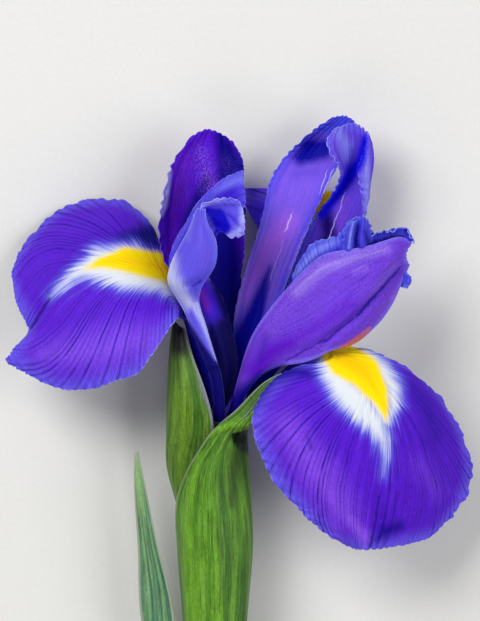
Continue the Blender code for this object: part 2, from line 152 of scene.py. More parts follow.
# Pattern scales, in repeats to the mm: one for all directions, or x, y and z.
VEIN_DRIFT = 0.16
CREASE_CROOK = 0.7
PETAL_CLOUDS = 0.11
# The painted rim light comes and goes along the margin at this scale.
RIM_LIGHT_BREAKS = 0.55
LEAF_MOTTLE = (1.2, 0.14, 1.2)
STALK_WAX = 0.35

# Real fibres are 0.1 mm wide, cells 0.04, swollen cells 0.06, leaf pores 0.05, stalk lines 0.2, pith
# fibres 0.3, and pith cells, pollen grains and the board's tooth 0.1. All are too fine to show from
# here, so they are drawn 0.2 to 0.8 mm wide. The first two scales are repeats to a gap between veins,
# and to the mm along them.
STREAKS = (1.9, 0.09)
HAIRS = (4.4, 0.13)
PETAL_CELLS = (2.3, 1.5, 2.3)
SWOLLEN_CELLS = (4.2, 2.6, 4.2)
LEAF_FLECKS = (3.4, 1.2, 3.4)
STALK_LINES = (2.4, 0.09, 2.4)
PITH_FIBRES = 1.7
PITH_PORES = 4.0
POLLEN_GRAINS = 4.5
BOARD_TOOTH = 1.2


def linear(code):
    """An sRGB hex colour as the linear colour that a shader takes."""
    channels = []
    for start in (1, 3, 5):
        level = int(code[start:start + 2], 16) / 255.0
        channels.append(level / 12.92 if level <= 0.04045 else ((level + 0.055) / 1.055) ** 2.4)
    return (*channels, 1.0)


def add(tree, kind, inputs=(), out=0, **settings):
    """One node with its settings. Its inputs, in order or by socket, are values or nodes' outputs.

    A word after the kind is its operation.
    """
    kind, *operation = kind.split()
    node = tree.nodes.new("ShaderNode" + kind)
    for setting, value in [("operation", word) for word in operation] + list(settings.items()):
        setattr(node, setting, value)
    for socket, value in dict(inputs if isinstance(inputs, dict) else enumerate(inputs)).items():
        if isinstance(value, bpy.types.NodeSocket):
            tree.links.new(value, node.inputs[socket])
        else:
            node.inputs[socket].default_value = value
    return node.outputs[out]


def new_finish(name, roughness, sheen=0.0, coat=0.0):
    """An empty material with its shader's constant values set, and the coordinates in mm."""
    material = bpy.data.materials.new(name)
    material.use_nodes = True
    tree = material.node_tree
    shader = tree.nodes["Principled BSDF"]
    for socket, value in (("Roughness", roughness), ("Sheen Weight", sheen), ("Sheen Roughness", 0.4),
                          ("Coat Weight", coat), ("IOR", SKIN_IOR)):
        shader.inputs[socket].default_value = value
    place = add(tree, "TexCoord", out=3)
    millimetres = add(tree, "Mapping", {0: place, 3: (1.0 / MM, 1.0 / MM, 1.0 / MM)})
    return material, tree, shader, millimetres


def join(tree, shader, color, bump, gloss=None):
    """Links a finish's colour and bump, and its gloss if that varies, to its shader."""
    for socket, output in (("Base Color", color), ("Normal", bump), ("Roughness", gloss)):
        if output is not None:
            tree.links.new(output, shader.inputs[socket])


def vein_lines(tree, millimetres, strength):
    """Fine veins: each keeps its own darkness, wanders, breaks up and branches where it has room."""
    vein, gap, run = (add(tree, "Attribute", attribute_name=field, out=2) for field in ("vein", "gap", "run"))
    drift = add(tree, "TexNoise", {"Vector": millimetres, "Scale": VEIN_DRIFT, "Detail": 2.0})
    placed = add(tree, "Math MULTIPLY_ADD", [drift, VEIN_WANDER, vein])
    number = add(tree, "Math ROUND", [placed])
    chance = add(tree, "TexWhiteNoise", {"W": number}, noise_dimensions="1D")
    near = add(tree, "Math PINGPONG", [placed, 0.5])
    apart = add(tree, "Math MULTIPLY", [near, gap])
    slim = add(tree, "MapRange", [chance, 0.0, 1.0, 1.5, 0.72])
    apart = add(tree, "Math MULTIPLY", [apart, slim])
    line = add(tree, "MapRange", [apart, *VEIN_EDGE, 1.0, 0.0], **SMOOTH)
    own = add(tree, "MapRange", [chance, 0.0, 1.0, 0.35, 1.0])
    line = add(tree, "Math MULTIPLY", [line, own])

    # Halfway between two veins that stand well apart runs a fainter branch.
    twice = add(tree, "Math MULTIPLY_ADD", [placed, 2.0, 0.5])
    half_near = add(tree, "Math PINGPONG", [twice, 0.5])
    half_apart = add(tree, "Math MULTIPLY", [half_near, gap])
    branch = add(tree, "MapRange", [half_apart, *BRANCH_EDGE, 0.5, 0.0], **SMOOTH)
    room = add(tree, "MapRange", [gap, *BRANCH_ROOM], **SMOOTH)
    branch = add(tree, "Math MULTIPLY", [branch, room])

    # Veins fade where they crowd, and each breaks up along its run.
    lines = add(tree, "Math MAXIMUM", [line, branch])
    crowd = add(tree, "MapRange", [gap, *VEIN_ROOM], **SMOOTH)
    lines = add(tree, "Math MULTIPLY", [lines, crowd])
    length = add(tree, "Math MULTIPLY", [run, BREAK_STRETCH])
    beside = add(tree, "CombineXYZ", [number, length])
    broken = add(tree, "TexNoise", {"Vector": beside, "Scale": BREAK_SCALE, "Detail": 1.0})
    kept = add(tree, "MapRange", [broken, 0.34, 0.56, 0.4 * strength, strength])
    return add(tree, "Math MULTIPLY", [lines, kept])


def vein_streaks(tree, pitch, stretch):
    """Soft fibres that run with the veins, with this many to each gap between them."""
    vein, run = (add(tree, "Attribute", attribute_name=field, out=2) for field in ("vein", "run"))
    crossways = add(tree, "Math MULTIPLY", [vein, pitch])
    lengthways = add(tree, "Math MULTIPLY", [run, stretch])
    grid = add(tree, "CombineXYZ", [crossways, lengthways])
    return add(tree, "TexNoise", {"Vector": grid, "Scale": 1.0, "Detail": 3.0, "Roughness": 0.6})


# A painted crease line: dark ones are painted shade in a fold, light ones painted highlights.
def painted_crease_line(tree, millimetres, crease):
    """A hairline crease from one point to another, fading at both ends and a little crooked."""
    (x0, y0), (x1, y1), width, strength = crease[:4]
    reach = np.array((x1 - x0, y1 - y0))
    length = np.linalg.norm(reach)
    right, up = reach / length
    crook = add(tree, "TexNoise", {"Vector": millimetres, "Scale": CREASE_CROOK, "Detail": 3.0}, out=1)
    bent = add(tree, "VectorMath MULTIPLY_ADD", [crook, (1.0, 1.0, 0.0), millimetres])
    start = (x0 + PLACE[0] + 0.5, y0 + PLACE[1] + 0.5, 0.0)
    from_start = add(tree, "VectorMath SUBTRACT", [bent, start])
    along = add(tree, "VectorMath DOT_PRODUCT", [from_start, (right, up, 0.0)], out=1)
    aside = add(tree, "VectorMath DOT_PRODUCT", [from_start, (-up, right, 0.0)], out=1)
    aside = add(tree, "Math ABSOLUTE", [aside])
    line = add(tree, "MapRange", [aside, 0.3 * width, width, strength, 0.0])
    before = add(tree, "MapRange", [along, 0.0, CREASE_END])
    after = add(tree, "MapRange", [along, length - CREASE_END, length, 1.0, 0.0])
    line = add(tree, "Math MULTIPLY", [line, before])
    return add(tree, "Math MULTIPLY", [line, after])


def petal_finish(name, body, tint, deep, painted_light_and_tint, pale, rim, vein, veins=0.9, speckle=0.2, tint_reach=5.0,
                 rim_light_strength=0.4, fibres=0.1, velvet=0.35, sheen=0.04, flush_and_shade="#B4606A", painted_creases=()):
    """Fresh petal skin: velvety cells over a pigment that deepens in patches and along the veins.

    The sheen and the cell grain give the velvet. The fields give patches: in the deep colour, painted
    shade in hollows, folds and sides turned from the light, over dark pigment in places; painted light
    on lit parts; and a flush colour that on some petals is painted shade. The lighter edge is painted
    light, where light shows through the thin margin.
    """
    material, tree, shader, millimetres = new_finish(name, 0.52, sheen=sheen)
    shader.inputs["Sheen Tint"].default_value = linear("#6A50F0")
    shader.inputs["Specular IOR Level"].default_value = 0.1
    names = DEPTHS + PATCHES + ("margin",)
    fields = {field: add(tree, "Attribute", attribute_name=field, out=2) for field in names}
    streaks = vein_streaks(tree, *STREAKS)
    hairs = vein_streaks(tree, *HAIRS)
    coarse = add(tree, "Math MULTIPLY", [streaks, 0.75])
    feathers = add(tree, "Math MULTIPLY_ADD", [hairs, 0.6, coarse])
    feathers = add(tree, "Math SUBTRACT", [feathers, 0.175])
    lines = vein_lines(tree, millimetres, veins)
    clouds = add(tree, "TexNoise", {"Vector": millimetres, "Scale": PETAL_CLOUDS, "Detail": 3.0})
    cell_grid = add(tree, "Mapping", {0: millimetres, 3: PETAL_CELLS})
    cells = add(tree, "TexNoise", {"Vector": cell_grid, "Scale": 1.0, "Detail": 2.0, "Roughness": 0.7})

    # The colour: body to margin tint, then patches of painted light and tint, of pale, of flush and
    # painted shade, and of painted shade and dark pigment, then the veins.
    rough_margin = add(tree, "Math MULTIPLY_ADD", [clouds, 2.4, fields["margin"]])
    edge_side = add(tree, "MapRange", [rough_margin, 1.2, 1.2 + tint_reach, 1.0, 0.0], **SMOOTH)
    half_feathers = add(tree, "Math MULTIPLY", [feathers, 0.6])
    grainy = add(tree, "Math MULTIPLY_ADD", [cells, 0.4, half_feathers])
    coats = [(edge_side, tint)]
    for field, code, feather, edge in (
        ("painted_light_and_tint", painted_light_and_tint, 0.25, feathers), ("pale", pale, 0.4, feathers), ("flush_and_shade", flush_and_shade, 0.3, feathers),
        ("shade_and_dark_pigment", deep, 1.0, grainy),
    ):
        ragged = add(tree, "Math MULTIPLY_ADD", [edge, feather, fields[field]])
        amount = add(tree, "MapRange", [ragged, 0.5 * feather, 1.0 + 0.5 * feather], **SMOOTH)
        coats.append((amount, code))
    coats.append((lines, vein))
    color = linear(body)
    for amount, code in coats:
        color = add(tree, "Mix", {0: amount, 6: color, 7: linear(code)}, **MIX)

    # Fibres and cells lighten and darken it a little.
    fibre = add(tree, "MapRange", [streaks, 0.25, 0.75, 1.0 - fibres, 1.0 + fibres])
    grain = add(tree, "MapRange", [cells, 0.25, 0.75, 1.0 - speckle, 1.0 + speckle])
    value = add(tree, "Math MULTIPLY", [fibre, grain])
    color = add(tree, "HueSaturation", {"Value": value, "Color": color})

    # Painted highlights: where the velvet is longest, a painted sheen, and single swollen cells
    # that catch the light.
    painted_sheen = add(tree, "Math MULTIPLY", [fields["sparkle"], 0.16])
    dot_grid = add(tree, "Mapping", {0: millimetres, 3: SWOLLEN_CELLS})
    dots = add(tree, "TexVoronoi", {"Vector": dot_grid, "Scale": 1.0})
    lit_dot = add(tree, "MapRange", [dots, 0.2, 0.48, 0.6, 0.0])
    lit_dot = add(tree, "Math MULTIPLY", [lit_dot, fields["sparkle"]])
    coats = [(painted_sheen, "#8A4FDC"), (lit_dot, "#A98CEE")]

    # The white halo ends in streaks that pass through blue, and the yellow signal lies on it.
    spread_out = add(tree, "Math SUBTRACT", [feathers, 0.5])
    for field, feather, start, end, code in (
        ("halo", 5.8, -2.6, 0.6, "#5C60E4"), ("halo", 5.0, -1.2, 1.7, "#E0E5EC"),
        ("signal", 1.4, -0.6, 0.8, "#FFE000"), ("signal", 3.0, 1.0, 3.4, "#FFCB00"),
    ):
        ragged = add(tree, "Math MULTIPLY_ADD", [spread_out, feather, fields[field]])
        coats.append((add(tree, "MapRange", [ragged, start, end], **SMOOTH), code))
    on_signal = add(tree, "MapRange", [fields["signal"], -0.2, 0.8, 0.0, 0.09])
    faint = add(tree, "Math MULTIPLY", [lines, on_signal])
    coats.append((faint, "#D98E00"))
    # Painted shade along the dark creases and painted highlights along the light ones.
    coats += [(painted_crease_line(tree, millimetres, crease), crease[4]) for crease in painted_creases]

    # Painted rim light where light shows through the thin margin: not all along, and hardly under
    # the patches of shade and flush.
    painted_rim_light = add(tree, "MapRange", [fields["margin"], 0.02, 0.2, rim_light_strength, 0.0])
    rim_light_breaks = add(tree, "TexNoise", {"Vector": millimetres, "Scale": RIM_LIGHT_BREAKS, "Detail": 2.0})
    rim_light_breaks = add(tree, "MapRange", [rim_light_breaks, 0.4, 0.6, 0.25, 1.0])
    painted_rim_light = add(tree, "Math MULTIPLY", [painted_rim_light, rim_light_breaks])
    darkest = add(tree, "Math MAXIMUM", [fields["shade_and_dark_pigment"], fields["flush_and_shade"]])
    lit = add(tree, "MapRange", [darkest, 0.2, 0.75, 1.0, 0.1])
    coats.append((add(tree, "Math MULTIPLY", [painted_rim_light, lit]), rim))
    for amount, code in coats:
        color = add(tree, "Mix", {0: amount, 6: color, 7: linear(code)}, **MIX)

    # Veins lie in shallow grooves, fibres stand a little proud, and cells make the velvet.
    sunk = add(tree, "Math MULTIPLY", [lines, -0.7])
    height = add(tree, "Math MULTIPLY_ADD", [streaks, 0.5, sunk])
    height = add(tree, "Math MULTIPLY_ADD", [cells, velvet, height])
    bump = add(tree, "Bump", {"Height": height, "Strength": 0.55, "Distance": 0.3 * MM})
    join(tree, shader, color, bump, add(tree, "MapRange", [cells, 0.3, 0.7, 0.44, 0.62]))
    return material


def leaf_finish(name, body, fresh, dark, pale, dry, ribbing=0.16):
    """Waxy leaf skin: long ribs in lighter and darker green, with a thin dry pale margin."""
    material, tree, shader, millimetres = new_finish(name, 0.42, coat=0.04)
    shader.inputs["Specular IOR Level"].default_value = 0.3
    names = ("shade_and_dark_pigment", "painted_light_and_tint", "pale", "margin", "vein", "run")
    fields = {field: add(tree, "Attribute", attribute_name=field, out=2) for field in names}
    length = add(tree, "Math MULTIPLY", [fields["run"], RIB_STRETCH])
    rib_grid = add(tree, "CombineXYZ", [fields["vein"], length])
    bands = add(tree, "TexNoise", {"Vector": rib_grid, "Scale": RIB_BANDS, "Detail": 1.0})
    ribs = add(tree, "TexNoise", {"Vector": rib_grid, "Scale": RIBS, "Detail": 3.0, "Roughness": 0.7})
    fleck_grid = add(tree, "Mapping", {0: millimetres, 3: LEAF_FLECKS})
    flecks = add(tree, "TexNoise", {"Vector": fleck_grid, "Scale": 1.0, "Detail": 3.0, "Roughness": 0.75})
    mottle_grid = add(tree, "Mapping", {0: millimetres, 3: LEAF_MOTTLE})
    mottle = add(tree, "TexNoise", {"Vector": mottle_grid, "Scale": 1.0, "Detail": 4.0, "Roughness": 0.65})

    # Bands, ribs and furrows of green, then the patches: lighter green, partly painted light; painted
    # shade, and the dark of a dried tip; and dry pale.
    coats = [(add(tree, "MapRange", [bands, 0.38, 0.68]), fresh),
             (add(tree, "MapRange", [ribs, 0.5, 0.64, 0.0, ribbing]), pale),
             (add(tree, "MapRange", [ribs, 0.48, 0.34, 0.0, 0.6]), dark)]
    for field, code in (("painted_light_and_tint", fresh), ("shade_and_dark_pigment", dark), ("pale", dry)):
        ragged = add(tree, "Math MULTIPLY_ADD", [ribs, 0.5, fields[field]])
        coats.append((add(tree, "MapRange", [ragged, 0.3, 1.2], **SMOOTH), code))
    color = linear(body)
    for amount, code in coats:
        color = add(tree, "Mix", {0: amount, 6: color, 7: linear(code)}, **MIX)

    # Mottles and flecks lighten and darken it, and the dry pale margin shows only outside the painted
    # shade and the dark tip.
    cloudy = add(tree, "MapRange", [mottle, 0.3, 0.7, 0.72, 1.22])
    flecked = add(tree, "MapRange", [flecks, 0.25, 0.75, 0.66, 1.3])
    value = add(tree, "Math MULTIPLY", [cloudy, flecked])
    color = add(tree, "HueSaturation", {"Value": value, "Color": color})
    membrane = add(tree, "MapRange", [fields["margin"], 0.15, 0.65, 0.85, 0.0])
    unshaded_margin = add(tree, "MapRange", [fields["shade_and_dark_pigment"], 0.2, 0.75, 1.0, 0.2])
    membrane = add(tree, "Math MULTIPLY", [membrane, unshaded_margin])
    color = add(tree, "Mix", {0: membrane, 6: color, 7: linear(dry)}, **MIX)
    height = add(tree, "Math MULTIPLY_ADD", [flecks, 0.25, ribs])
    bump = add(tree, "Bump", {"Height": height, "Strength": 0.5, "Distance": 0.4 * MM})
    join(tree, shader, color, bump, add(tree, "MapRange", [flecks, 0.3, 0.7, 0.34, 0.5]))
    return material


def stalk_finish(name, body, dark, pale):
    """Smooth green stalk: fine lines along it under a thin wax."""
    material, tree, shader, millimetres = new_finish(name, 0.38, coat=0.1)
    long_grid = add(tree, "Mapping", {0: millimetres, 3: STALK_LINES})
    lines = add(tree, "TexNoise", {"Vector": long_grid, "Scale": 1.0, "Detail": 3.0, "Roughness": 0.6})
    wax = add(tree, "TexNoise", {"Vector": millimetres, "Scale": STALK_WAX, "Detail": 4.0})
    color = linear(body)
    for start, end, code in ((0.45, 0.66, pale), (0.46, 0.32, dark)):
        amount = add(tree, "MapRange", [lines, start, end])
        color = add(tree, "Mix", {0: amount, 6: color, 7: linear(code)}, **MIX)
    value = add(tree, "MapRange", [wax, 0.3, 0.7, 0.85, 1.15])
    color = add(tree, "HueSaturation", {"Value": value, "Color": color})
    bump = add(tree, "Bump", {"Height": lines, "Strength": 0.4, "Distance": 0.3 * MM})
    join(tree, shader, color, bump, add(tree, "MapRange", [wax, 0.3, 0.7, 0.3, 0.48]))
    return material


def cut_finish(name):
    """Cut stem pith: pale and wet, dotted with the ends of its fibres."""
    material, tree, shader, millimetres = new_finish(name, 0.3, coat=0.3)
    dots = add(tree, "TexVoronoi", {"Vector": millimetres, "Scale": PITH_FIBRES})
    pores = add(tree, "TexNoise", {"Vector": millimetres, "Scale": PITH_PORES, "Detail": 3.0})
    fibre = add(tree, "MapRange", [dots, 0.12, 0.26, 1.0, 0.0])
    color = add(tree, "Mix", {0: pores, 6: linear("#C9D6A0"), 7: linear("#E6EBCB")}, **MIX)
    color = add(tree, "Mix", {0: fibre, 6: color, 7: linear("#7E9A4B")}, **MIX)
    join(tree, shader, color, add(tree, "Bump", {"Height": pores, "Strength": 0.5, "Distance": 0.2 * MM}))
    return material


def pollen_finish(name):
    """Anther with its pollen: matt cream-yellow grains on a pale filament."""
    material, tree, shader, millimetres = new_finish(name, 0.8, sheen=0.3)
    grains = add(tree, "TexVoronoi", {"Vector": millimetres, "Scale": POLLEN_GRAINS})
    swell = add(tree, "Attribute", attribute_name="anther", out=2)
    pollen = add(tree, "Mix", {0: grains, 6: linear("#F2DC8A"), 7: linear("#B98F2A")}, **MIX)
    color = add(tree, "Mix", {0: swell, 6: linear("#B9A9E6"), 7: pollen}, **MIX)
    join(tree, shader, color, add(tree, "Bump", {"Height": grains, "Strength": 0.7, "Distance": 0.2 * MM}))
    return material


def floor_finish(name):
    """Pale matt board with a faint paper tooth."""
    material, tree, shader, millimetres = new_finish(name, 0.75)
    tooth = add(tree, "TexNoise", {"Vector": millimetres, "Scale": BOARD_TOOTH, "Detail": 4.0})
    color = add(tree, "Mix", {0: tooth, 6: linear("#DCDBD8"), 7: linear("#E4E3E0")}, **MIX)
    join(tree, shader, color, add(tree, "Bump", {"Height": tooth, "Strength": 0.1, "Distance": 0.1 * MM}))
    return material


def stem_height(y):
    """Height of the stem's axis: it slopes from the throat down to its cut end."""
    fall = LIE_HEIGHT - STEM_RADIUS
    return min(0.0, fall * y / -STEM_CUT)


def spline_weights(count, shares):
    """Weights of a natural cubic spline through evenly numbered points, at shares of its length."""
    bends_of = np.eye(count)
    jumps = np.zeros((count, count))
    for i in range(1, count - 1):
        bends_of[i, i - 1:i + 2] = (1.0, 4.0, 1.0)
        jumps[i, i - 1:i + 2] = (6.0, -12.0, 6.0)
    bends = np.linalg.solve(bends_of, jumps)
    points = np.eye(count)
    weights = []
    for place in shares * (count - 1.0):
        i = min(int(place), count - 2)
        f = place - i
        g = 1.0 - f
        bend = (g ** 3 - g) * bends[i] + (f ** 3 - f) * bends[i + 1]
        weights.append(g * points[i] + f * points[i + 1] + bend / 6.0)
    return np.array(weights)


def spread(row, count):
    """Makes a row as long as the longest: three points by their parabola, more by a spline."""
    if len(row) == count:
        return row
    if len(row) > 3:
        return spline_weights(len(row), np.linspace(0.0, 1.0, count)) @ np.array(row)
    near, middle, far = (np.array(point) for point in row)
    return [(1 - t) * (1 - 2 * t) * near + 4 * t * (1 - t) * middle + t * (2 * t - 1) * far
            for t in np.linspace(0.0, 1.0, count)]


def claw_foot(direction, half_angle=CLAW_HALF_ANGLE, flip=False):
    """The foot of a petal: an arc on the rim of the flower tube."""
    turns = np.linspace(-half_angle, half_angle, FOOT_POINTS)
    if flip:
        turns = turns[::-1]
    foot = []
    for turn in turns:
        angle = math.radians(direction + turn)
        x = THROAT[0] + CLAW_RING * math.cos(angle)
        z = THROAT[2] - CLAW_RING * math.sin(angle)
        foot.append((x, THROAT[1] + FOOT_LIFT, z))
    return foot


def style_foot(direction):
    """The foot of a style arm: a straight line across its side of the three-sided column."""
    angle = math.radians(direction)
    out = (math.cos(angle), -math.sin(angle))
    foot = []
    for reach in np.linspace(-STYLE_HALF, STYLE_HALF, FOOT_POINTS):
        x = THROAT[0] + STYLE_RING * out[0] - reach * out[1]
        z = THROAT[2] + STYLE_RING * out[1] + reach * out[0]
        foot.append((x, THROAT[1] + FOOT_LIFT, z))
    return foot


def wrap(y, radius, start, end, count=FOOT_POINTS):
    """A row that wraps the stem's axis from one angle to another, seen along the stem."""
    row = []
    for angle in np.radians(np.linspace(start, end, count)):
        x = SPATHE_MIDDLE + radius * math.cos(angle)
        z = stem_height(y) + WRAP_FLATNESS * radius * math.sin(angle)
        row.append((x, y, z))
    return row


def length_shares(steps):
    """Shares of a petal's length at its grid lines, closer together towards the tip."""
    even = np.linspace(0.0, 1.0, steps + 1)
    return 0.6 * even + 0.4 * np.sin(0.5 * math.pi * even)


def width_shares(steps):
    """Shares of a petal's width at its grid lines, closer together towards both margins."""
    even = np.linspace(0.0, 1.0, steps + 1)
    return 0.5 * even + 0.25 * (1.0 - np.cos(math.pi * even))


def sheet_points(rows, along, across):
    """A grid of points on the smooth sheet through the rows."""
    count = max(len(row) for row in rows)
    grid = np.array([spread(row, count) for row in rows], dtype=float)
    lengthways = spline_weights(grid.shape[0], length_shares(along))
    crossways = spline_weights(grid.shape[1], width_shares(across))
    return np.einsum("ai,ijk,bj->abk", lengthways, grid, crossways)


def unit(vectors):
    """The same directions, all of length one."""
    return vectors / np.maximum(np.linalg.norm(vectors, axis=-1, keepdims=True), 1e-6)


def face_directions(points):
    """The direction square to the sheet at each point."""
    return unit(np.cross(np.gradient(points, axis=0), np.gradient(points, axis=1)))


def lengths(points, axis):
    """Distance run from the grid's first line along one axis, in mm."""
    steps = np.linalg.norm(np.diff(points, axis=axis), axis=2)
    run = np.zeros(points.shape[:2])
    if axis == 0:
        run[1:] = np.cumsum(steps, axis=0)
    else:
        run[:, 1:] = np.cumsum(steps, axis=1)
    return run


def margin_distance(points):
    """Distance to the nearest free margin: both sides and the tip, not the foot."""
    across = lengths(points, 1)
    along = lengths(points, 0)
    return np.minimum.reduce([across, across[:, -1:] - across, along[-1:] - along])


def fan_veins(along, across, middle, start, bend, tip_count, side_count):
    """Vein numbers of a blade whose veins leave its midline and bend out to its margins.

    The middle is a share of the width, the start of the fan a share of the length, and the
    counts are the veins that end on half of the tip and on one side.
    """
    s = length_shares(along)[:, None]
    t = width_shares(across)[None, :]
    aside = np.where(t < middle, (middle - t) / middle, (t - middle) / (1.0 - middle))
    side = np.where(t < middle, -1.0, 1.0)
    spread_out = aside ** (1.0 / bend) * (1.0 - start) / np.maximum(s - start, 0.02)
    on_tip = tip_count * spread_out
    on_side = tip_count + side_count * (1.0 - 1.0 / np.maximum(spread_out, 1.0))
    return side * np.where(spread_out <= 1.0, on_tip, on_side)


def long_veins(along, across, count):
    """Vein numbers of a blade whose veins run side by side from foot to tip."""
    return np.tile(count * width_shares(across)[None, :], (along + 1, 1))


def comb_veins(along, across, count):
    """Vein numbers of a crest whose veins stand side by side like the teeth of a comb."""
    return np.tile(count * length_shares(along)[:, None], (1, across + 1))


def vein_gap(points, numbers):
    """Millimetres between two neighbouring veins at each point."""
    along = np.linalg.norm(np.gradient(points, axis=0), axis=2)
    across = np.linalg.norm(np.gradient(points, axis=1), axis=2)
    rate = np.hypot(np.gradient(numbers, axis=0) / np.maximum(along, 1e-4),
                    np.gradient(numbers, axis=1) / np.maximum(across, 1e-4))
    return np.clip(1.0 / np.maximum(rate, 1e-3), 0.0, WIDEST_GAP)


def inside(points, band):
    """How far inside a band each point lies, seen from above.

    A band is a line through points of (x, y, half width).
    """
    best = np.full(points.shape[:2], -1e9)
    for (x0, y0, w0), (x1, y1, w1) in zip(band, band[1:]):
        reach = np.array((x1 - x0, y1 - y0))
        offset = points[:, :, :2] - np.array((x0, y0))
        t = np.clip(offset @ reach / (reach @ reach), 0.0, 1.0)
        distance = np.linalg.norm(offset - t[:, :, None] * reach, axis=2)
        best = np.maximum(best, w0 + t * (w1 - w0) - distance)
    return best


def depth_field(points, bands):
    """Depth inside the nearest of the bands in mm, less than zero outside them."""
    field = np.full(points.shape[:2], -9.0)
    for band in bands:
        field = np.maximum(field, inside(points, band))
    return field


def soft_field(points, bands):
    """A patch of pigment: each band comes with its strength and the width over which it fades."""
    field = np.zeros(points.shape[:2])
    for strength, fade, band in bands:
        share = np.clip(0.5 + inside(points, band) / (2.0 * fade), 0.0, 1.0)
        field = np.maximum(field, strength * share * share * (3.0 - 2.0 * share))
    return field


def scallops(run, tooth, seed):
    """Uneven scallops along a margin, each of its own width and height, on longer lobes."""
    chance = np.random.default_rng(seed)
    count = int(run[-1] / tooth * 2.0) + 4
    ends = np.cumsum(tooth * chance.uniform(0.55, 1.5, count)) - tooth
    heights = chance.uniform(0.35, 1.0, count)
    place = np.clip(np.searchsorted(ends, run), 1, count - 1)
    share = (run - ends[place - 1]) / (ends[place] - ends[place - 1])
    arch = np.sqrt(np.clip(1.0 - (2.0 * share - 1.0) ** 2, 0.0, 1.0))
    lobe_places = np.arange(0.0, run[-1] + 4.0 * tooth, TEETH_TO_A_LOBE * tooth)
    lobes = np.interp(run, lobe_places, chance.uniform(-1.0, 1.0, len(lobe_places)))
    return heights[place] * (arch - 0.6) + 0.75 * lobes


def frill(points, size, tooth, start, seed):
    """Cuts the margin into small uneven scallops, from the given share of the length."""
    grown = np.clip((length_shares(points.shape[0] - 1) - start) / FRILL_GROWTH, 0.0, 1.0)
    across = lengths(points, 1)
    along = lengths(points, 0)
    sides = [
        (points[:, 0], points[:, 0] - points[:, 3], across, grown[:, None], 0),
        (points[:, -1], points[:, -1] - points[:, -4], across[:, -1:] - across, grown[:, None], 0),
        (points[-1], points[-1] - points[-4], along[-1:] - along, 1.0, 1),
    ]
    moved = points.copy()
    for number, (line, outward, distance, strength, axis) in enumerate(sides):
        run = np.concatenate(([0.0], np.cumsum(np.linalg.norm(np.diff(line, axis=0), axis=1))))
        wave = np.expand_dims(size * scallops(run, tooth, seed + number), 1 - axis)
        share = wave * strength * np.exp(-distance / FRILL_REACH)
        moved += share[:, :, None] * np.expand_dims(unit(outward), 1 - axis)
    return moved


def pleat(points, numbers, size, period, reach):
    """Raises the sheet in soft pleats that run with the veins and grow towards the margin."""
    grown = np.exp(-margin_distance(points) / reach)
    foot = np.clip(length_shares(points.shape[0] - 1) / PLEAT_FOOT, 0.0, 1.0)[:, None]
    turn = numbers * 2.0 * math.pi / period
    wave = np.sin(turn + 0.7 * np.sin(turn * 0.37)) * size * grown * foot
    return points + wave[:, :, None] * face_directions(points)


def crimp(points, size, period, reach, seed):
    """Ripples the sheet along both side margins, with crests that run out to the edge."""
    chance = np.random.default_rng(seed)
    across = lengths(points, 1)
    turn = lengths(points, 0) * 2.0 * math.pi / period
    foot = np.clip(length_shares(points.shape[0] - 1) / CRIMP_FOOT, 0.0, 1.0)[:, None]
    lift = np.zeros(points.shape[:2])
    for aside in (across, across[:, -1:] - across):
        phase, drift = chance.uniform(0.0, 2.0 * math.pi, 2)
        lift += np.sin(turn + 1.6 * np.sin(turn * 0.31 + drift) + phase) * np.exp(-aside / reach)
    return points + (size * foot * lift)[:, :, None] * face_directions(points)


def groove(points, numbers, depth):
    """Puffs the sheet up between its veins, so that each vein lies in a shallow groove."""
    gap = vein_gap(points, numbers)
    room = np.clip((gap - PUFF_GAP) / PUFF_GROWTH, 0.0, 1.0)
    wave = 2.0 * depth * room * (np.abs(np.sin(math.pi * numbers)) - 0.6)
    return points + wave[:, :, None] * face_directions(points)


def dent(points, dents):
    """Presses valleys into the sheet, or raises ridges where the depth is less than zero."""
    moved = points.copy()
    for depth, reach, band in dents:
        aside = np.minimum(inside(points, band), 0.0)
        moved[:, :, 2] -= depth * np.exp(-(aside / reach) ** 2)
    return moved


def lay_grid(name, points):
    """Adds a grid and lays its corners on the points, one for one."""
    along = points.shape[0] - 1
    across = points.shape[1] - 1
    bpy.ops.object.select_all(action="DESELECT")
    bpy.ops.mesh.primitive_grid_add(x_subdivisions=along, y_subdivisions=across, size=2.0)
    piece = bpy.context.object
    piece.name = name
    mesh = piece.data
    mesh.name = name
    flat = np.empty(len(mesh.vertices) * 3)
    mesh.vertices.foreach_get("co", flat)
    flat = flat.reshape(-1, 3)
    i = np.rint((flat[:, 0] + 1.0) / 2.0 * along).astype(int)
    j = np.rint((flat[:, 1] + 1.0) / 2.0 * across).astype(int)
    mesh.vertices.foreach_set("co", ((points[i, j] + PLACE) * MM).ravel())
    mesh.update()
    return piece, i, j


def write_fields(piece, i, j, fields):
    """Stores each field on the grid's corners, where the finish finds it by name."""
    for name, values in fields.items():
        layer = piece.data.attributes.new(name, "FLOAT", "POINT")
        layer.data.foreach_set("value", values[i, j].astype(np.float32))


def give_wall(piece, wall):
    """Gives the sheet its thickness, thinner towards the margin, and smooths its shading."""
    group = piece.vertex_groups.new(name="wall")
    margin = np.empty(len(piece.data.vertices), np.float32)
    piece.data.attributes["margin"].data.foreach_get("value", margin)
    shares = np.clip(MARGIN_WALL + (1.0 - MARGIN_WALL) * margin / THIN_REACH, MARGIN_WALL, 1.0)
    for index, share in enumerate(shares):
        group.add([index], float(share), "REPLACE")
    thickness = piece.modifiers.new("wall", "SOLIDIFY")
    thickness.thickness = wall * MM
    thickness.offset = 0.0
    thickness.use_quality_normals = True
    thickness.vertex_group = "wall"
    bpy.ops.object.modifier_apply(modifier="wall")
    bpy.ops.object.shade_smooth()


def dress(piece, node, finish):
    """Gives a piece its finish, and says what it rides on and what it replaces."""
    piece.data.materials.clear()
    piece.data.materials.append(finish)
    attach(piece, "root")
    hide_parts(node)


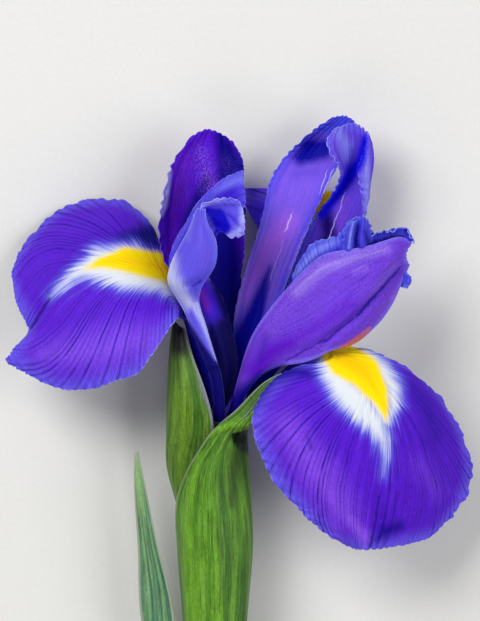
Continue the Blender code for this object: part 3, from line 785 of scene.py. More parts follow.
def sheet(node, part, finish, rows, along, across, veins, zones, wall=PETAL_WALL, frills=None,
          pleats=None, crimps=None, grooves=0.0, dents=(), signal_end=1.0):
    """One petal, bract or leaf of a node, with its fields of pigment and its finish.

    Frills are (size, tooth, share of the length where they start, seed), pleats (size, period,
    reach), crimps (size, period, reach, seed) and dents a list of (depth, reach, band). The
    signal and halo end at signal_end, as a share of the length. Besides pigment, the fields hold
    painted shade and painted light.
    """
    points = sheet_points(rows, along, across)
    numbers = veins[0](along, across, *veins[1:])
    if pleats:
        points = pleat(points, numbers, *pleats)
    if crimps:
        points = crimp(points, *crimps)
    if grooves:
        points = groove(points, numbers, grooves)
    if frills:
        points = frill(points, *frills)
    points = dent(points, dents)
    points[:, :, 2] = np.maximum(points[:, :, 2], wall / 2.0 - LIE_HEIGHT)
    past_signal = SIGNAL_FADE * np.maximum(length_shares(along)[:, None] - signal_end, 0.0)
    fields = {"vein": numbers, "gap": vein_gap(points, numbers), "run": lengths(points, 0),
              "margin": margin_distance(points)}
    for field in DEPTHS:
        fields[field] = depth_field(points, zones.get(field, [])) - past_signal
    for field in PATCHES:
        fields[field] = soft_field(points, zones.get(field, []))
    piece, i, j = lay_grid(node + "_" + part, points)
    write_fields(piece, i, j, fields)
    give_wall(piece, wall)
    dress(piece, node, finish)


def stalk(name, path, radii, sides, ribs=0.0):
    """A round stalk: a cylinder cut into rings, each laid round its own point of the path."""
    bpy.ops.object.select_all(action="DESELECT")
    bpy.ops.mesh.primitive_cylinder_add(vertices=sides, radius=1.0, depth=2.0, end_fill_type="TRIFAN")
    piece = bpy.context.object
    piece.name = name
    piece.data.name = name
    rings = len(path)

    # The cylinder's long edges are cut into rings.
    bpy.ops.object.mode_set(mode="EDIT")
    bpy.ops.mesh.select_all(action="DESELECT")
    cage = bmesh.from_edit_mesh(piece.data)
    for edge in cage.edges:
        bottom, top = edge.verts
        edge.select_set(abs(bottom.co.z - top.co.z) > 1.0)
    cage.select_flush_mode()
    bmesh.update_edit_mesh(piece.data)
    bpy.ops.mesh.subdivide(number_cuts=rings - 2)
    bpy.ops.object.mode_set(mode="OBJECT")

    # Each ring stands square to the path at its own point.
    line = np.array(path)
    ahead = unit(np.gradient(line, axis=0))
    right = unit(np.cross(ahead, np.tile((0.0, 0.0, 1.0), (rings, 1))))
    up = np.cross(right, ahead)
    flat = np.empty(len(piece.data.vertices) * 3)
    piece.data.vertices.foreach_get("co", flat)
    flat = flat.reshape(-1, 3)
    ring = np.rint((flat[:, 2] + 1.0) / 2.0 * (rings - 1)).astype(int)
    around = np.arctan2(flat[:, 1], flat[:, 0])
    centre = np.hypot(flat[:, 0], flat[:, 1]) < 0.5
    reach = np.where(centre, 0.0, np.array(radii)[ring] * (1.0 + ribs * np.cos(around * sides / 4.0)))
    outward = np.cos(around)[:, None] * right[ring] + np.sin(around)[:, None] * up[ring]
    placed = line[ring] + reach[:, None] * outward
    piece.data.vertices.foreach_set("co", ((placed + PLACE) * MM).ravel())
    piece.data.update()
    bpy.ops.object.shade_smooth_by_angle(angle=math.radians(SMOOTH_BEND))
    return piece, ring


def fall_left():
    """Outer petal on the left: its midline is a ridge, and its far half turns away."""
    rows = [
        claw_foot(LEFT, flip=True),
        [(-3.6, 6, 3.1), (-6.2, 7.4, 0.4), (-3.2, 8.2, -2.6)],
        [(-6, 13.6, 4.1), (-8, 15.4, 0.4), (-4.8, 16, -2.4)],
        [(-9.2, 19.4, 5.4), (-11.2, 23.6, 0.8), (-10.6, 27.6, -4.2)],
        [(-13.4, 15.4, 8), (-16, 28.2, 1.6), (-17.6, 40.2, -8.6)],
        [(-18.4, 8.6, 8.6), (-20.4, 19.6, 8.2), (-22.4, 29.2, 2.6), (-23.8, 37.8, -4.4), (-25, 43.6, -13)],
        [(-26, 6, 7), (-27.2, 17, 7.6), (-29.6, 28, 2), (-31.6, 36.2, -5), (-33.8, 42, -14.6)],
        [(-34.8, 5.2, 3.4), (-34.4, 14.6, 4.6), (-36, 24.4, 0.2), (-38.8, 31.8, -6), (-41.8, 34.8, -12.6)],
        [(-44.9, 10.8, -2.6), (-42.6, 13.8, -1.6), (-40.8, 17.4, -2.2), (-43, 22.2, -5.2),
         (-44.4, 27.6, -9.4)],
    ]
    # Painted shade on the far half, which turns from the light, and on the haft under the bloom; a navy patch
    # by the standard that is part pigment, part painted shade; painted light on the lit lower half; and a
    # painted shadow in the crease.
    zones = {
        "signal": [[(-8, 26.4, 2.6), (-12.9, 29.4, 3), (-20.8, 31, 2.6), (-25.8, 30.4, 1.2),
                    (-29, 29.2, 0.2)]],
        "halo": [[(-8, 25.2, 2.6), (-13.7, 27.7, 3.1), (-20.8, 29.6, 4.3), (-26, 30.1, 3.2),
                  (-29.6, 29, 1.6), (-31.6, 27.8, 0.9), (-34, 25.6, 0.5), (-36, 23.6, -0.2)]],
        "shade_and_dark_pigment": [
            (1.1, 3, [(-12, 36, 3.4), (-17, 35.8, 2.4), (-22, 35.4, 0.8)]),
            (0.3, 5, [(-16, 39, 3), (-28, 35, 3.4), (-35, 27, 3)]),
            (1, 1.2, [(-2.6, 2, 3), (-5.4, 9, 2.6), (-7.2, 15, 1.6), (-9.4, 20, 0.8)]),
        ],
        "painted_light_and_tint": [(0.7, 5, [(-17, 15, 3.5), (-27, 13, 4.5), (-37, 12, 2.5)])],
    }
    finish = petal_finish("left fall petal skin", "#5A1ED0", "#6654E6", "#040170", "#8450EA", "#A9B0EA",
                          "#BFCBFF", "#1B0596", rim_light_strength=0.65,
                          painted_creases=[((-36, 23.9), (-40.4, 16.8), 0.5, 0.75, "#12046E")])
    sheet("fall_left", "petal", finish, rows, 210, 180, (fan_veins, 0.5, 0.25, 3, 6, 30), zones,
          frills=(0.6, 1.35, 0.42, 10), pleats=(0.18, 4, 5), crimps=(0.16, 3.2, 1.3, 71), grooves=0.05,
          dents=[(0.7, 0.8, [(-36.2, 23.9, 0.1), (-38.6, 20.2, 0.2), (-40.4, 17.2, 0.2)]),
                 (0.4, 1.4, [(-12, 17, 0.1), (-16, 12, 0.2)])])


def fall_right():
    """Outer petal that hangs towards the viewer, with a notch in its margin."""
    rows = [
        claw_foot(RIGHT),
        [(3.6, 2.6, 5.2), (4.4, 4.4, 3), (4.6, 7.2, 0.8)],
        [(8.6, 7.4, 7), (9.8, 9.6, 4.6), (10.6, 12.8, 2.4)],
        [(13.6, 9.8, 9.4), (15.6, 12.2, 7.2), (17.4, 14.6, 5)],
        [(17.2, 10.4, 11.8), (22.6, 12, 10.8), (27.6, 13, 8)],
        [(10.2, 8.4, 12.2), (18.6, 7.4, 13.8), (27.6, 7.4, 13.4), (33.2, 9.4, 9.6), (37, 8, 6)],
        [(4.9, 0, 11.6), (16.4, 0.4, 14.4), (30.4, 0.4, 14), (38.6, 2, 9.4), (44.2, 0.4, 3.4)],
        [(7, -9.4, 10.8), (18.6, -8.4, 13.6), (31, -7.6, 13), (40.6, -7.8, 7.4), (48.6, -10, -1.6)],
        [(14.2, -19.4, 9), (22, -17.4, 11.2), (30.2, -16.6, 11), (39.2, -17, 5.6), (46.6, -18, -2.4)],
        [(22.4, -25.4, 6.6), (25.2, -26.6, 7.4), (28.4, -26.4, 7.8), (34, -26.2, 5), (40.6, -24.4, 0.4)],
    ]
    # Painted shade on the haft under the bloom and along the crease by the notch, beside dark patches of
    # pigment by the halo and the notch; painted light on the lower blade and left of the crease; and a
    # painted shadow in the crease.
    zones = {
        "signal": [[(20.6, 12.2, 2.6), (22.8, 11, 3.6), (26.4, 8.8, 3.4), (28.8, 5.2, 2.4), (30.2, 2.4, 1.4),
                    (30.7, 0.4, 0.7), (30.7, -1.2, 0.1)]],
        "halo": [
            [(18.8, 11.4, 1.5), (20.4, 8, 2.1), (23, 4.8, 2.6), (26, 1.8, 2.7), (28.8, -1.4, 1.9),
             (30.4, -4.8, 0.9), (30.9, -8.2, 0.1), (30.4, -12, -0.5)],
            [(26.6, 12.4, 1.2), (30, 9.4, 1.5), (32.2, 5.6, 1.4), (32.5, 2.4, 1.1), (31.4, -0.8, 0.4)],
            [(20.6, 12.2, 2.8), (26.4, 8.8, 3.6), (28.8, 5.2, 2.8), (30.7, -0.6, 1.2)],
        ],
        "shade_and_dark_pigment": [
            (0.55, 4, [(36, 6, 2), (39, 2, 2.4), (41, -4, 2)]),
            (0.95, 2.4, [(29.2, -24.8, 0.6), (30.8, -23, 1.4), (33.6, -22, 0.9)]),
            (0.5, 1.8, [(30.2, -15, 0.2), (30.4, -20, 0.8)]),
            (0.7, 0.9, [(15.4, -4, 0.2), (16.2, -6.4, 0.3)]),
            (0.95, 2.2, [(2, 2, 3), (8, 8, 1.8), (13, 8.8, 1.2), (17.6, 8, 0.6)]),
        ],
        "painted_light_and_tint": [
            (0.7, 5, [(11, -2, 3), (18, -12, 4), (23, -20, 3)]),
            (0.9, 2, [(24, -20.5, 1.4), (27, -24.4, 1.2)]),
            (0.35, 4, [(38, -10, 2.4), (41, -15, 2)]),
        ],
    }
    finish = petal_finish("right fall petal skin", "#5618CC", "#6856E8", "#12048C", "#8A50EA", "#A9B0EA",
                          "#BFCBFF", "#180594", rim_light_strength=0.65,
                          painted_creases=[((29.7, -15.4), (27.8, -27.4), 0.32, 0.75, "#16088A")])
    sheet("fall_right", "petal", finish, rows, 210, 180, (fan_veins, 0.5, 0.36, 2, 6, 32),
          zones, frills=(0.6, 1.35, 0.42, 17), pleats=(0.18, 4, 5), crimps=(0.2, 3.2, 1.3, 72),
          grooves=0.05,
          dents=[(0.5, 1, [(29.4, -21, 0.1), (28.4, -26, 0.2)]),
                 (0.6, 1.2, [(41.5, -13.5, 0.1), (46, -15.6, 0.3)]),
                 (0.35, 0.7, [(30.6, -6, 0.1), (29.8, -16, 0.1)])])


def fall_rear():
    """Outer petal behind, with its blade folded under the bloom."""
    rows = [
        claw_foot(REAR, flip=True),
        [(0.4, 9, -5.6), (2.6, 8.6, -7), (5, 8, -6)],
        [(5, 22, -9.6), (8, 21.4, -11), (11, 20.6, -10.2)],
        [(9, 33, -11.4), (13.6, 32.4, -12.6), (17.6, 31, -12)],
        [(5.4, 38.6, -11.4), (16.4, 40, -12.6), (24, 37.6, -12.4)],
        [(1.4, 45.5, -11.6), (18.4, 45.2, -12.4), (27, 43, -12.8)],
        [(4.4, 40.6, -13.8), (19, 41.8, -15.4), (27.2, 40.4, -15.4)],
        [(8.6, 32, -14.9), (19.2, 33, -15.4), (27.4, 32.6, -15.4)],
        [(12, 23.6, -14.9), (19.4, 20, -15.4), (26, 23.6, -15.4)],
    ]
    # The light band along the top is painted light, and the finish's colours are lighter than the petal's
    # own: painted light, for the shade it lies in under the bloom.
    zones = {
        "signal": [[(13, 33, 1.8), (17.6, 39, 3), (19.6, 46, 4)]],
        "halo": [[(13, 33, 2.6), (17.6, 39, 3.4), (19.6, 44, 3.4)]],
        "shade_and_dark_pigment": [(0.4, 2, [(3, 37.4, 1), (6, 37, 1.2)])],
        "painted_light_and_tint": [(0.8, 2.4, [(2, 44, 1.2), (8, 44.4, 1.2)])],
    }
    finish = petal_finish("rear fall petal skin", "#5424FF", "#6448FF", "#1A0AB0", "#8A6CFF", "#A9B0EA",
                          "#A4B0F4", "#1A0784")
    sheet("fall_rear", "petal", finish, rows, 150, 90, (fan_veins, 0.5, 0.3, 2, 6, 24), zones,
          frills=(0.4, 1.35, 0.42, 24), pleats=(0.15, 4, 4), signal_end=0.6)


def standard_left():
    """Upright deep purple petal with a rolled pale edge."""
    rows = [
        claw_foot(LEFT_STANDARD, flip=True),
        [(-4.4, 9.4, -3.4), (-2.4, 9.4, -5), (-0.4, 9.8, -4.6)],
        [(-6.6, 19.4, -3.6), (-3.6, 20, -6.2), (1.8, 20.4, -5.4)],
        [(-7.8, 24.6, -1.6), (-4.4, 25, -6.4), (2.2, 25.2, -5.2)],
        [(-12.4, 29.8, 2.2), (-5.6, 30.4, -6.2), (2.4, 30.2, -4)],
        [(-14.2, 37, 1.6), (-6.8, 37, -6.2), (3.2, 37.4, -3.4)],
        [(-13.2, 44.6, -0.4), (-6.8, 45, -5.8), (2.8, 45.4, -2.6)],
        [(-11.2, 51, -1.2), (-5.4, 51.8, -4.6), (2.4, 51, -2.2)],
        [(-7.6, 56, -1.4), (-3.8, 57.1, -2.8), (0.6, 54.8, -2)],
    ]
    # Painted shade, over deep pigment, on the right half that turns from the light, in the fold of the
    # channel and on the lower part under the bloom; painted light on the left side; painted glints where the
    # velvet is longest.
    zones = {
        "shade_and_dark_pigment": [
            (1.1, 2.2, [(-2, 56, 1), (0.4, 50, 2.8), (0.4, 42, 3.4)]),
            (1, 1.6, [(-4.6, 47.4, 1), (-8, 40, 1.4), (-9.6, 34, 1.4)]),
            (1, 2.4, [(-2, 34, 4), (-1, 24, 4.4), (-1, 8, 4)]),
        ],
        "painted_light_and_tint": [
            (0.5, 1.8, [(-8.6, 52, 1), (-10.4, 46, 1.2), (-11.8, 38, 0.8), (-12.4, 32, 0.6)]),
            (0.6, 1.4, [(-4.4, 48.4, 0.7), (-3, 45.2, 0.6)]),
        ],
        "pale": [(0.95, 0.45, [(-12.1, 49, 0.3), (-12.9, 45.8, 0.7), (-13.3, 42.4, 0.7), (-13.8, 40, 0.3)])],
        "sparkle": [(1, 2.4, [(-6, 53, 1.2), (-5, 48.4, 1.6), (-3.6, 44.6, 1.2)]),
                    (0.3, 3, [(-9.6, 50, 1.2), (-9.4, 44, 0.8)]),
                    (0.22, 2, [(-0.6, 51, 1.4), (1, 46.6, 1.2)])],
    }
    finish = petal_finish("deep standard petal skin", "#580CD0", "#5414CC", "#0A0282", "#8A2CDC", "#9A92E6",
                          "#8C80EC", "#16067A", veins=0.3, speckle=0.3, tint_reach=3)
    sheet("standard_left", "petal", finish, rows, 190, 100, (long_veins, 22), zones,
          frills=(0.44, 1.2, 0.3, 31), pleats=(0.16, 3, 3), crimps=(0.16, 2.6, 0.9, 73),
          dents=[(-0.6, 0.6, [(-12.1, 49.4, 0.1), (-13, 45.5, 0.4), (-13.5, 41, 0.1)]),
                 (0.5, 0.4, [(-11.4, 48, 0.1), (-11.9, 44, 0.1), (-12.6, 40.4, 0.1)])])


def standard_front():
    """The pale twisted standard: a rolled hood round its dark mouth."""
    rows = [
        claw_foot(FRONT_STANDARD, half_angle=20),
        [(-3.8, 7, 5.6), (-2.6, 7, 6.4), (-1.6, 7.4, 6.2)],
        [(-6.8, 14.6, 7.2), (-5.4, 14.8, 8.2), (-4, 15.4, 7.8)],
        [(-9.4, 21.6, 8.2), (-7.8, 22.2, 9.2), (-6.4, 22.8, 8.8)],
        [(-12, 26, 8.8), (-9.2, 26.2, 11), (-5.4, 26.4, 9.6)],
        [(-11.4, 31, 9), (-8, 31, 11.4), (-3, 31.4, 10.4)],
        [(-8.4, 36.4, 9.2), (-5.8, 35.8, 10.8), (-2.8, 34.6, 10.4)],
        [(-6.2, 41.2, 9.6), (-3.8, 39.4, 9), (-2, 36.6, 10.8)],
        [(-2, 43.2, 10.2), (-0.6, 39.6, 7.8), (-0.4, 35.6, 10.4)],
        [(1.8, 43, 9), (2.9, 39.8, 8.2), (2.6, 35.8, 9.8)],
    ]
    # Painted shade in the hood's hollow, over the deep blue of its inner face, and painted shade in the
    # near-black flush colour on the claw under the bloom.
    zones = {
        "shade_and_dark_pigment": [
            (1.1, 0.9, [(-4.4, 40.8, 0.8), (-2.4, 39.6, 1.7), (-1.4, 37.4, 1.5), (-2.8, 34.8, 0.8)]),
            (0.8, 1.2, [(-1.4, 40.6, 0.4), (0.8, 39.2, 0.5), (1.8, 37.8, 0.3)]),
        ],
        "flush_and_shade": [(1, 0.8, [(-0.8, 0, 3.2), (-2.6, 6, 2), (-4.2, 11.4, 2), (-6.2, 15, 1.8),
                              (-7.6, 18.4, 1.6)])],
        "pale": [(0.6, 1.2, [(2.6, 42, 0.4), (2.6, 39, 0.7), (1.6, 36.2, 0.6), (-0.2, 35.8, 0.4)]),
                 (0.6, 0.5, [(-5.6, 41.6, 0.2), (-3.2, 42.9, 0.3), (-0.8, 43.2, 0.2)])],
        "painted_light_and_tint": [(0.5, 0.8, [(0.6, 40.6, 0.6), (0.8, 38.2, 0.6)])],
    }
    finish = petal_finish("pale standard petal skin", "#5E50DC", "#6A64E6", "#0B02B4", "#6A56E2", "#C3C8EC",
                          "#D5D9FF", "#4A38C8", veins=0.18, speckle=0.1, tint_reach=1.6, rim_light_strength=0.5,
                          flush_and_shade="#080466")
    sheet("standard_front", "petal", finish, rows, 200, 80, (long_veins, 14), zones,
          frills=(0.42, 1.2, 0.6, 38), pleats=(0.14, 3, 2), crimps=(0.24, 1.9, 0.8, 74),
          dents=[(0.7, 1.2, [(-3.6, 38.6, 0.5), (-2.4, 35.6, 0.5)])])
    standard_front_flap(finish)


def standard_front_flap(finish):
    """The free flap of the front standard, over its claw and hollow."""
    rows = [
        [(-4.6, 9.4, 6.7), (-3.6, 9.6, 7.7), (-2.3, 9.8, 7.4)],
        [(-5.8, 12.4, 7.2), (-4.7, 12.6, 8.3), (-3.3, 12.8, 8)],
        [(-7.9, 17.4, 8.1), (-6.5, 17.8, 9.3), (-5, 18.4, 8.9)],
        [(-9.5, 21.6, 8.5), (-7.8, 22.2, 9.7), (-6.2, 22.8, 9.1)],
        [(-12.1, 25.8, 9.2), (-9.2, 25.8, 12.2), (-5.2, 26.4, 10.4)],
        [(-12.2, 28.8, 9.6), (-8.6, 28.8, 13), (-3.2, 29.4, 11)],
        [(-11, 32, 9.8), (-7.6, 32, 13.2), (-2.5, 32.6, 11.4)],
        [(-8.9, 35.6, 10), (-6.4, 35.4, 12.8), (-3, 35.4, 12)],
        [(-7.6, 38.4, 10.2), (-6, 38.2, 12.2), (-4.4, 38.2, 12.2)],
        [(-6.6, 41.2, 10.2), (-5.6, 41.1, 11.4), (-4.8, 40.9, 11.8)],
    ]
    # Painted shade in the flush colour at the claw's end under the bloom, and in the creases.
    zones = {
        "pale": [
            (1, 2.4, [(-11.8, 31, 1), (-12, 27.6, 1.6), (-10, 24.4, 1), (-8.2, 22.4, 0.8)]),
            (0.25, 1, [(-8.2, 35, 0.4), (-7.2, 39, 0.3)]),
            (0.6, 0.6, [(-7, 22, 0.9), (-5.4, 18.4, 0.6), (-4, 14.4, 0.3), (-2.9, 11.4, 0.2)]),
        ],
        "flush_and_shade": [(1, 0.7, [(-10.2, 21.2, 0.3), (-8.4, 17.6, 0.9), (-6.2, 13.4, 1.3), (-4.2, 10.4, 1.3),
                              (-3.4, 9, 2)])],
        "shade_and_dark_pigment": [(0.35, 1, [(-3.4, 30, 0.6), (-5.6, 26.4, 0.6)]),
                  (0.8, 0.6, [(-7.4, 25.8, 0.2), (-5.8, 26.8, 0.35)])],
        "painted_light_and_tint": [(0.7, 1.4, [(-6, 36.6, 0.5), (-5, 33, 0.9), (-5.6, 30, 0.9)])],
    }
    sheet("standard_front", "flap", finish, rows, 150, 80, (long_veins, 12), zones,
          frills=(0.16, 0.9, 0.1, 39), pleats=(0.08, 3, 2),
          dents=[(0.35, 0.6, [(-8.8, 25.9, 0.1), (-6.2, 26.7, 0.1)]),
                 (0.25, 0.8, [(-9.6, 30.6, 0.1), (-6.8, 34.6, 0.1)])])


def standard_right():
    """Petal behind on the right, with a dark channel and a folded pale edge."""
    rows = [
        claw_foot(RIGHT_STANDARD, flip=True),
        [(4.4, 9, -4), (6, 8.8, -4.6), (7.4, 8.4, -3.2)],
        [(9.6, 20, -6.4), (12, 19.6, -7.6), (14.6, 19, -5.8)],
        [(12.8, 29.6, -7.6), (16.6, 29.4, -9.2), (21, 29, -6.6)],
        [(15.2, 36, -7.6), (20.4, 36.4, -9.2), (26.8, 36, -5.4)],
        [(17.9, 40.6, -7), (19.4, 41.6, -7.8), (21.4, 42.4, -7.6), (24.6, 42.4, -6), (27.4, 42, -3.6),
         (27, 42, -2.4)],
        [(21.8, 46.4, -3.4), (22.8, 46.8, -5.2), (24, 46.8, -6), (26.4, 46.8, -4.6), (28.2, 46.4, -2.2),
         (26.4, 46.4, -0.9)],
        [(21.6, 50.4, 0.8), (23.2, 50.8, -2.2), (25.2, 51, -4), (27.2, 50.8, -3.2), (28.8, 50.4, -1.2),
         (25.8, 49.8, 0.3)],
        [(19.6, 53.8, 1.6), (22.6, 54.6, -0.6), (25.2, 55, -2.4), (27.4, 54.6, -2.2), (28.6, 53.8, -0.8),
         (27.2, 53.4, 0.6)],
        [(20.8, 57.6, 1), (22.8, 58.2, 0.2), (24.8, 58.4, -0.8), (26.6, 57.8, -1), (27.8, 56.6, -0.6),
         (27.6, 56.2, 0.2)],
    ]
    # The channel is dark all along, with painted shade in the flush colour at its lower end under the crest;
    # painted light on the lobe at the top; a painted highlight on the crease.
    zones = {
        "shade_and_dark_pigment": [
            (1, 1, [(27.2, 55.6, 0.6), (26.4, 51.6, 1), (24.4, 48.4, 1.3), (21.6, 44.4, 1),
                        (18.6, 40.4, 0.9)]),
        ],
        "flush_and_shade": [(1, 1.8, [(19.4, 40.6, 1.2), (20.2, 36, 1.7), (18, 31, 1.6)])],
        "pale": [(0.7, 1.6, [(21.8, 56.6, 1), (23.2, 54.2, 1.6), (23.4, 51.6, 0.9)]),
                 (0.75, 0.6, [(27.6, 52.6, 0.3), (27.4, 48.4, 0.8), (27.6, 44, 0.7), (27.4, 40, 0.4)])],
        "painted_light_and_tint": [(0.7, 2, [(23.4, 43, 1.2), (22, 38, 1.2)])],
    }
    finish = petal_finish("right standard petal skin", "#6644DC", "#6A5CE6", "#0606E0", "#7E48D8", "#8A8CF0",
                          "#BFC8FF", "#3A22BC", veins=0.3, speckle=0.16, tint_reach=2.4, fibres=0.12,
                          rim_light_strength=0.5, flush_and_shade="#1C0468",
                          painted_creases=[((23.4, 45), (19.6, 34.4), 0.16, 0.7, "#C9BDF2")])
    sheet("standard_right", "petal", finish, rows, 200, 110, (long_veins, 20), zones,
          frills=(0.62, 1.5, 0.5, 45), pleats=(0.2, 2, 1.6), crimps=(0.2, 2.4, 1, 75))


def style_arm_left():
    """Ridge over the left fall, ending in the crest band."""
    rows = [
        style_foot(LEFT),
        [(-2.2, 7.4, 3.5), (0, 8.2, 3.2), (1.4, 8.8, 0.4)],
        [(-4.6, 15, 4.4), (-2, 16, 5), (0.4, 16.8, 1.4)],
        [(-7.4, 20.6, 5), (-4.4, 22.2, 5.8), (-1.2, 22.6, 2)],
        [(-10.4, 25.2, 5.4), (-7.6, 26.8, 6), (-4.2, 27.2, 3)],
        [(-12, 31.4, 5.4), (-9.4, 31.2, 5.8), (-5.8, 30.8, 4)],
        [(-9, 38.2, 4.8), (-6.2, 37, 5.4), (-3, 35.8, 4.2)],
        [(-4.2, 45, 4.2), (-1.8, 42.8, 4.8), (0.8, 40, 4)],
        [(2.4, 49, 3.4), (3, 45.4, 3.8), (3, 41.6, 3.4)],
    ]
    # Painted shade on the lower part, deep in the bloom between the other parts; a painted highlight on the
    # magenta ridge.
    zones = {
        "shade_and_dark_pigment": [
            (1.2, 2.8, [(-0.6, 0, 3.8), (-1, 8, 3.4), (-1.4, 13.2, 3), (-1.4, 17.4, 1.9)]),
            (1, 1.4, [(0.4, 17, 1.3), (-1.2, 22, 1.3), (-3.4, 26.6, 0.8)]),
            (1, 2.4, [(-4.4, 13.6, 1.8), (-3.2, 17.4, 1.2)]),
            (0.5, 1.4, [(-8.4, 33.6, 0.5), (-5, 38.4, 0.4)]),
        ],
        "pale": [(0.35, 1, [(-11.6, 33, 0.4), (-7.6, 39.4, 0.4), (-2, 45.4, 0.7)]),
                 (0.7, 1.4, [(-3, 44.6, 0.3), (0, 46.4, 0.9), (2.4, 47.4, 0.9)])],
        "painted_light_and_tint": [(0.9, 1.5, [(-4.6, 21.4, 0.6), (-5.8, 24.4, 0.9)]),
                 (0.4, 1.6, [(-9.4, 31.4, 0.9), (-6.6, 37, 0.9), (-3.4, 40.8, 0.6)])],
    }
    finish = petal_finish("left style petal skin", "#3A1AC8", "#5646E0", "#03004C", "#7A1CB8", "#7C80EE",
                          "#B4BCFA", "#2A12A0", veins=0.35, speckle=0.12, tint_reach=3, fibres=0.12, sheen=0)
    sheet("style_arm_left", "petal", finish, rows, 190, 80, (long_veins, 14), zones,
          frills=(0.3, 1, 0.5, 52), pleats=(0.12, 3, 2.4), crimps=(0.18, 2.2, 0.9, 76))


def style_arm_right_body():
    """The boat-shaped arm over the right fall: its body ends in a lip."""
    rows = [
        [(0.7, -1.4, 1.2), (0.1, -1.4, 1.1), (-0.7, -1.3, 0.7)],
        [(4.2, 5.6, 6.6), (2.8, 7.4, 6.6), (2.4, 10, 4.2)],
        [(9.2, 9.6, 9.6), (8.4, 12, 10.8), (7, 14.6, 10.8), (5.8, 18.2, 8.2)],
        [(15.2, 10.8, 13.2), (15, 13.6, 14.2), (14.4, 18.4, 14.6), (12.9, 27, 9.8)],
        [(20.2, 13, 13.4), (20, 15.4, 15), (20.8, 22.4, 15.6), (18.8, 32, 11.2)],
        [(25.4, 14.8, 12.2), (24.6, 18.4, 14.6), (26, 26.4, 15.2), (25.2, 33.2, 12.2)],
        [(31, 20.2, 10), (29, 23.4, 13.2), (30, 29, 14.2), (30.8, 34.8, 12)],
        [(33.6, 25, 8.6), (32.6, 27.6, 11), (32.8, 31.4, 12.4), (34, 35.4, 11)],
        [(35.8, 30, 7.6), (35.2, 31.2, 9), (35.2, 32.6, 10), (36.2, 34.2, 9.4)],
    ]
    # Painted shade on the haft under the body and along the groove, where the dark crease lines lie; painted
    # glints on the velvet; and an orange-pink flush along the lower margin.
    zones = {
        "shade_and_dark_pigment": [
            (1, 1.8, [(-0.6, -1, 2.4), (3, 4.6, 1.6), (6.4, 7.6, 1.2), (10.4, 9.6, 0.7)]),
            (0.45, 1, [(14.4, 13.4, 0.4), (21, 17.6, 0.5), (27.6, 22.6, 0.5), (33.4, 28.8, 0.3)]),
            (0.5, 1.6, [(7.4, 16, 0.6), (6, 11, 0.8)]),
        ],
        "pale": [
            (0.75, 2.2, [(13.4, 24.6, 0.8), (18.6, 29.4, 1), (25, 31.4, 0.8), (31, 33, 0.5)]),
            (0.4, 1.4, [(24.6, 28.6, 0.6), (26.6, 29.4, 0.7)]),
            (0.3, 1.8, [(28.4, 25, 0.6), (32.4, 29.6, 0.6)]),
        ],
        "painted_light_and_tint": [(1, 3, [(5, 9, 1.8), (8.6, 13, 1.6), (12, 14.6, 1.2)]),
                 (0.7, 3, [(9, 13, 1.4), (16, 17, 1.6), (24, 22, 1.4)])],
        "flush_and_shade": [(1, 0.7, [(20.8, 12.6, 0.3), (23.2, 13.8, 0.7), (25.6, 15.4, 0.7), (27.6, 17.4, 0.3)]),
                  (0.35, 0.8, [(28, 18.6, 0.3), (32.6, 24.6, 0.3)])],
        "sparkle": [(0.8, 2.4, [(8, 17.6, 0.8), (11.6, 23, 1.2), (15.6, 26.8, 1)])],
    }
    painted_creases = [((34.2, 29.8), (24.6, 19.4), 0.42, 0.85, "#160A90"),
               ((24.8, 19.6), (18.4, 14.4), 0.34, 0.7, "#1C0A90"),
               ((19, 15.4), (10.6, 10.6), 0.3, 0.6, "#22088C"),
               ((27.4, 28.6), (22, 21.4), 0.16, 0.4, "#3A1AA8")]
    finish = petal_finish("right style petal skin", "#6E3ED4", "#7A62E4", "#12048E", "#5C0CC6", "#A88EEE",
                          "#A9B6F6", "#2A10A0", veins=0.3, speckle=0.26, tint_reach=1.6, velvet=0.8,
                          flush_and_shade="#C0665E", painted_creases=painted_creases)
    sheet("style_arm_right", "body", finish, rows, 200, 110, (long_veins, 24), zones,
          frills=(0.12, 1, 0.5, 59), pleats=(0.08, 4, 2), grooves=0.02,
          dents=[(0.9, 0.7, [(34.4, 29.8, 0.1), (24.6, 19.4, 0.2), (18.4, 14.4, 0.1)]),
                 (0.3, 1, [(27.4, 28.6, 0.1), (22, 21.4, 0.1)]),
                 (-0.5, 1.4, [(24.8, 28, 0.4), (28.4, 30, 0.4)])])


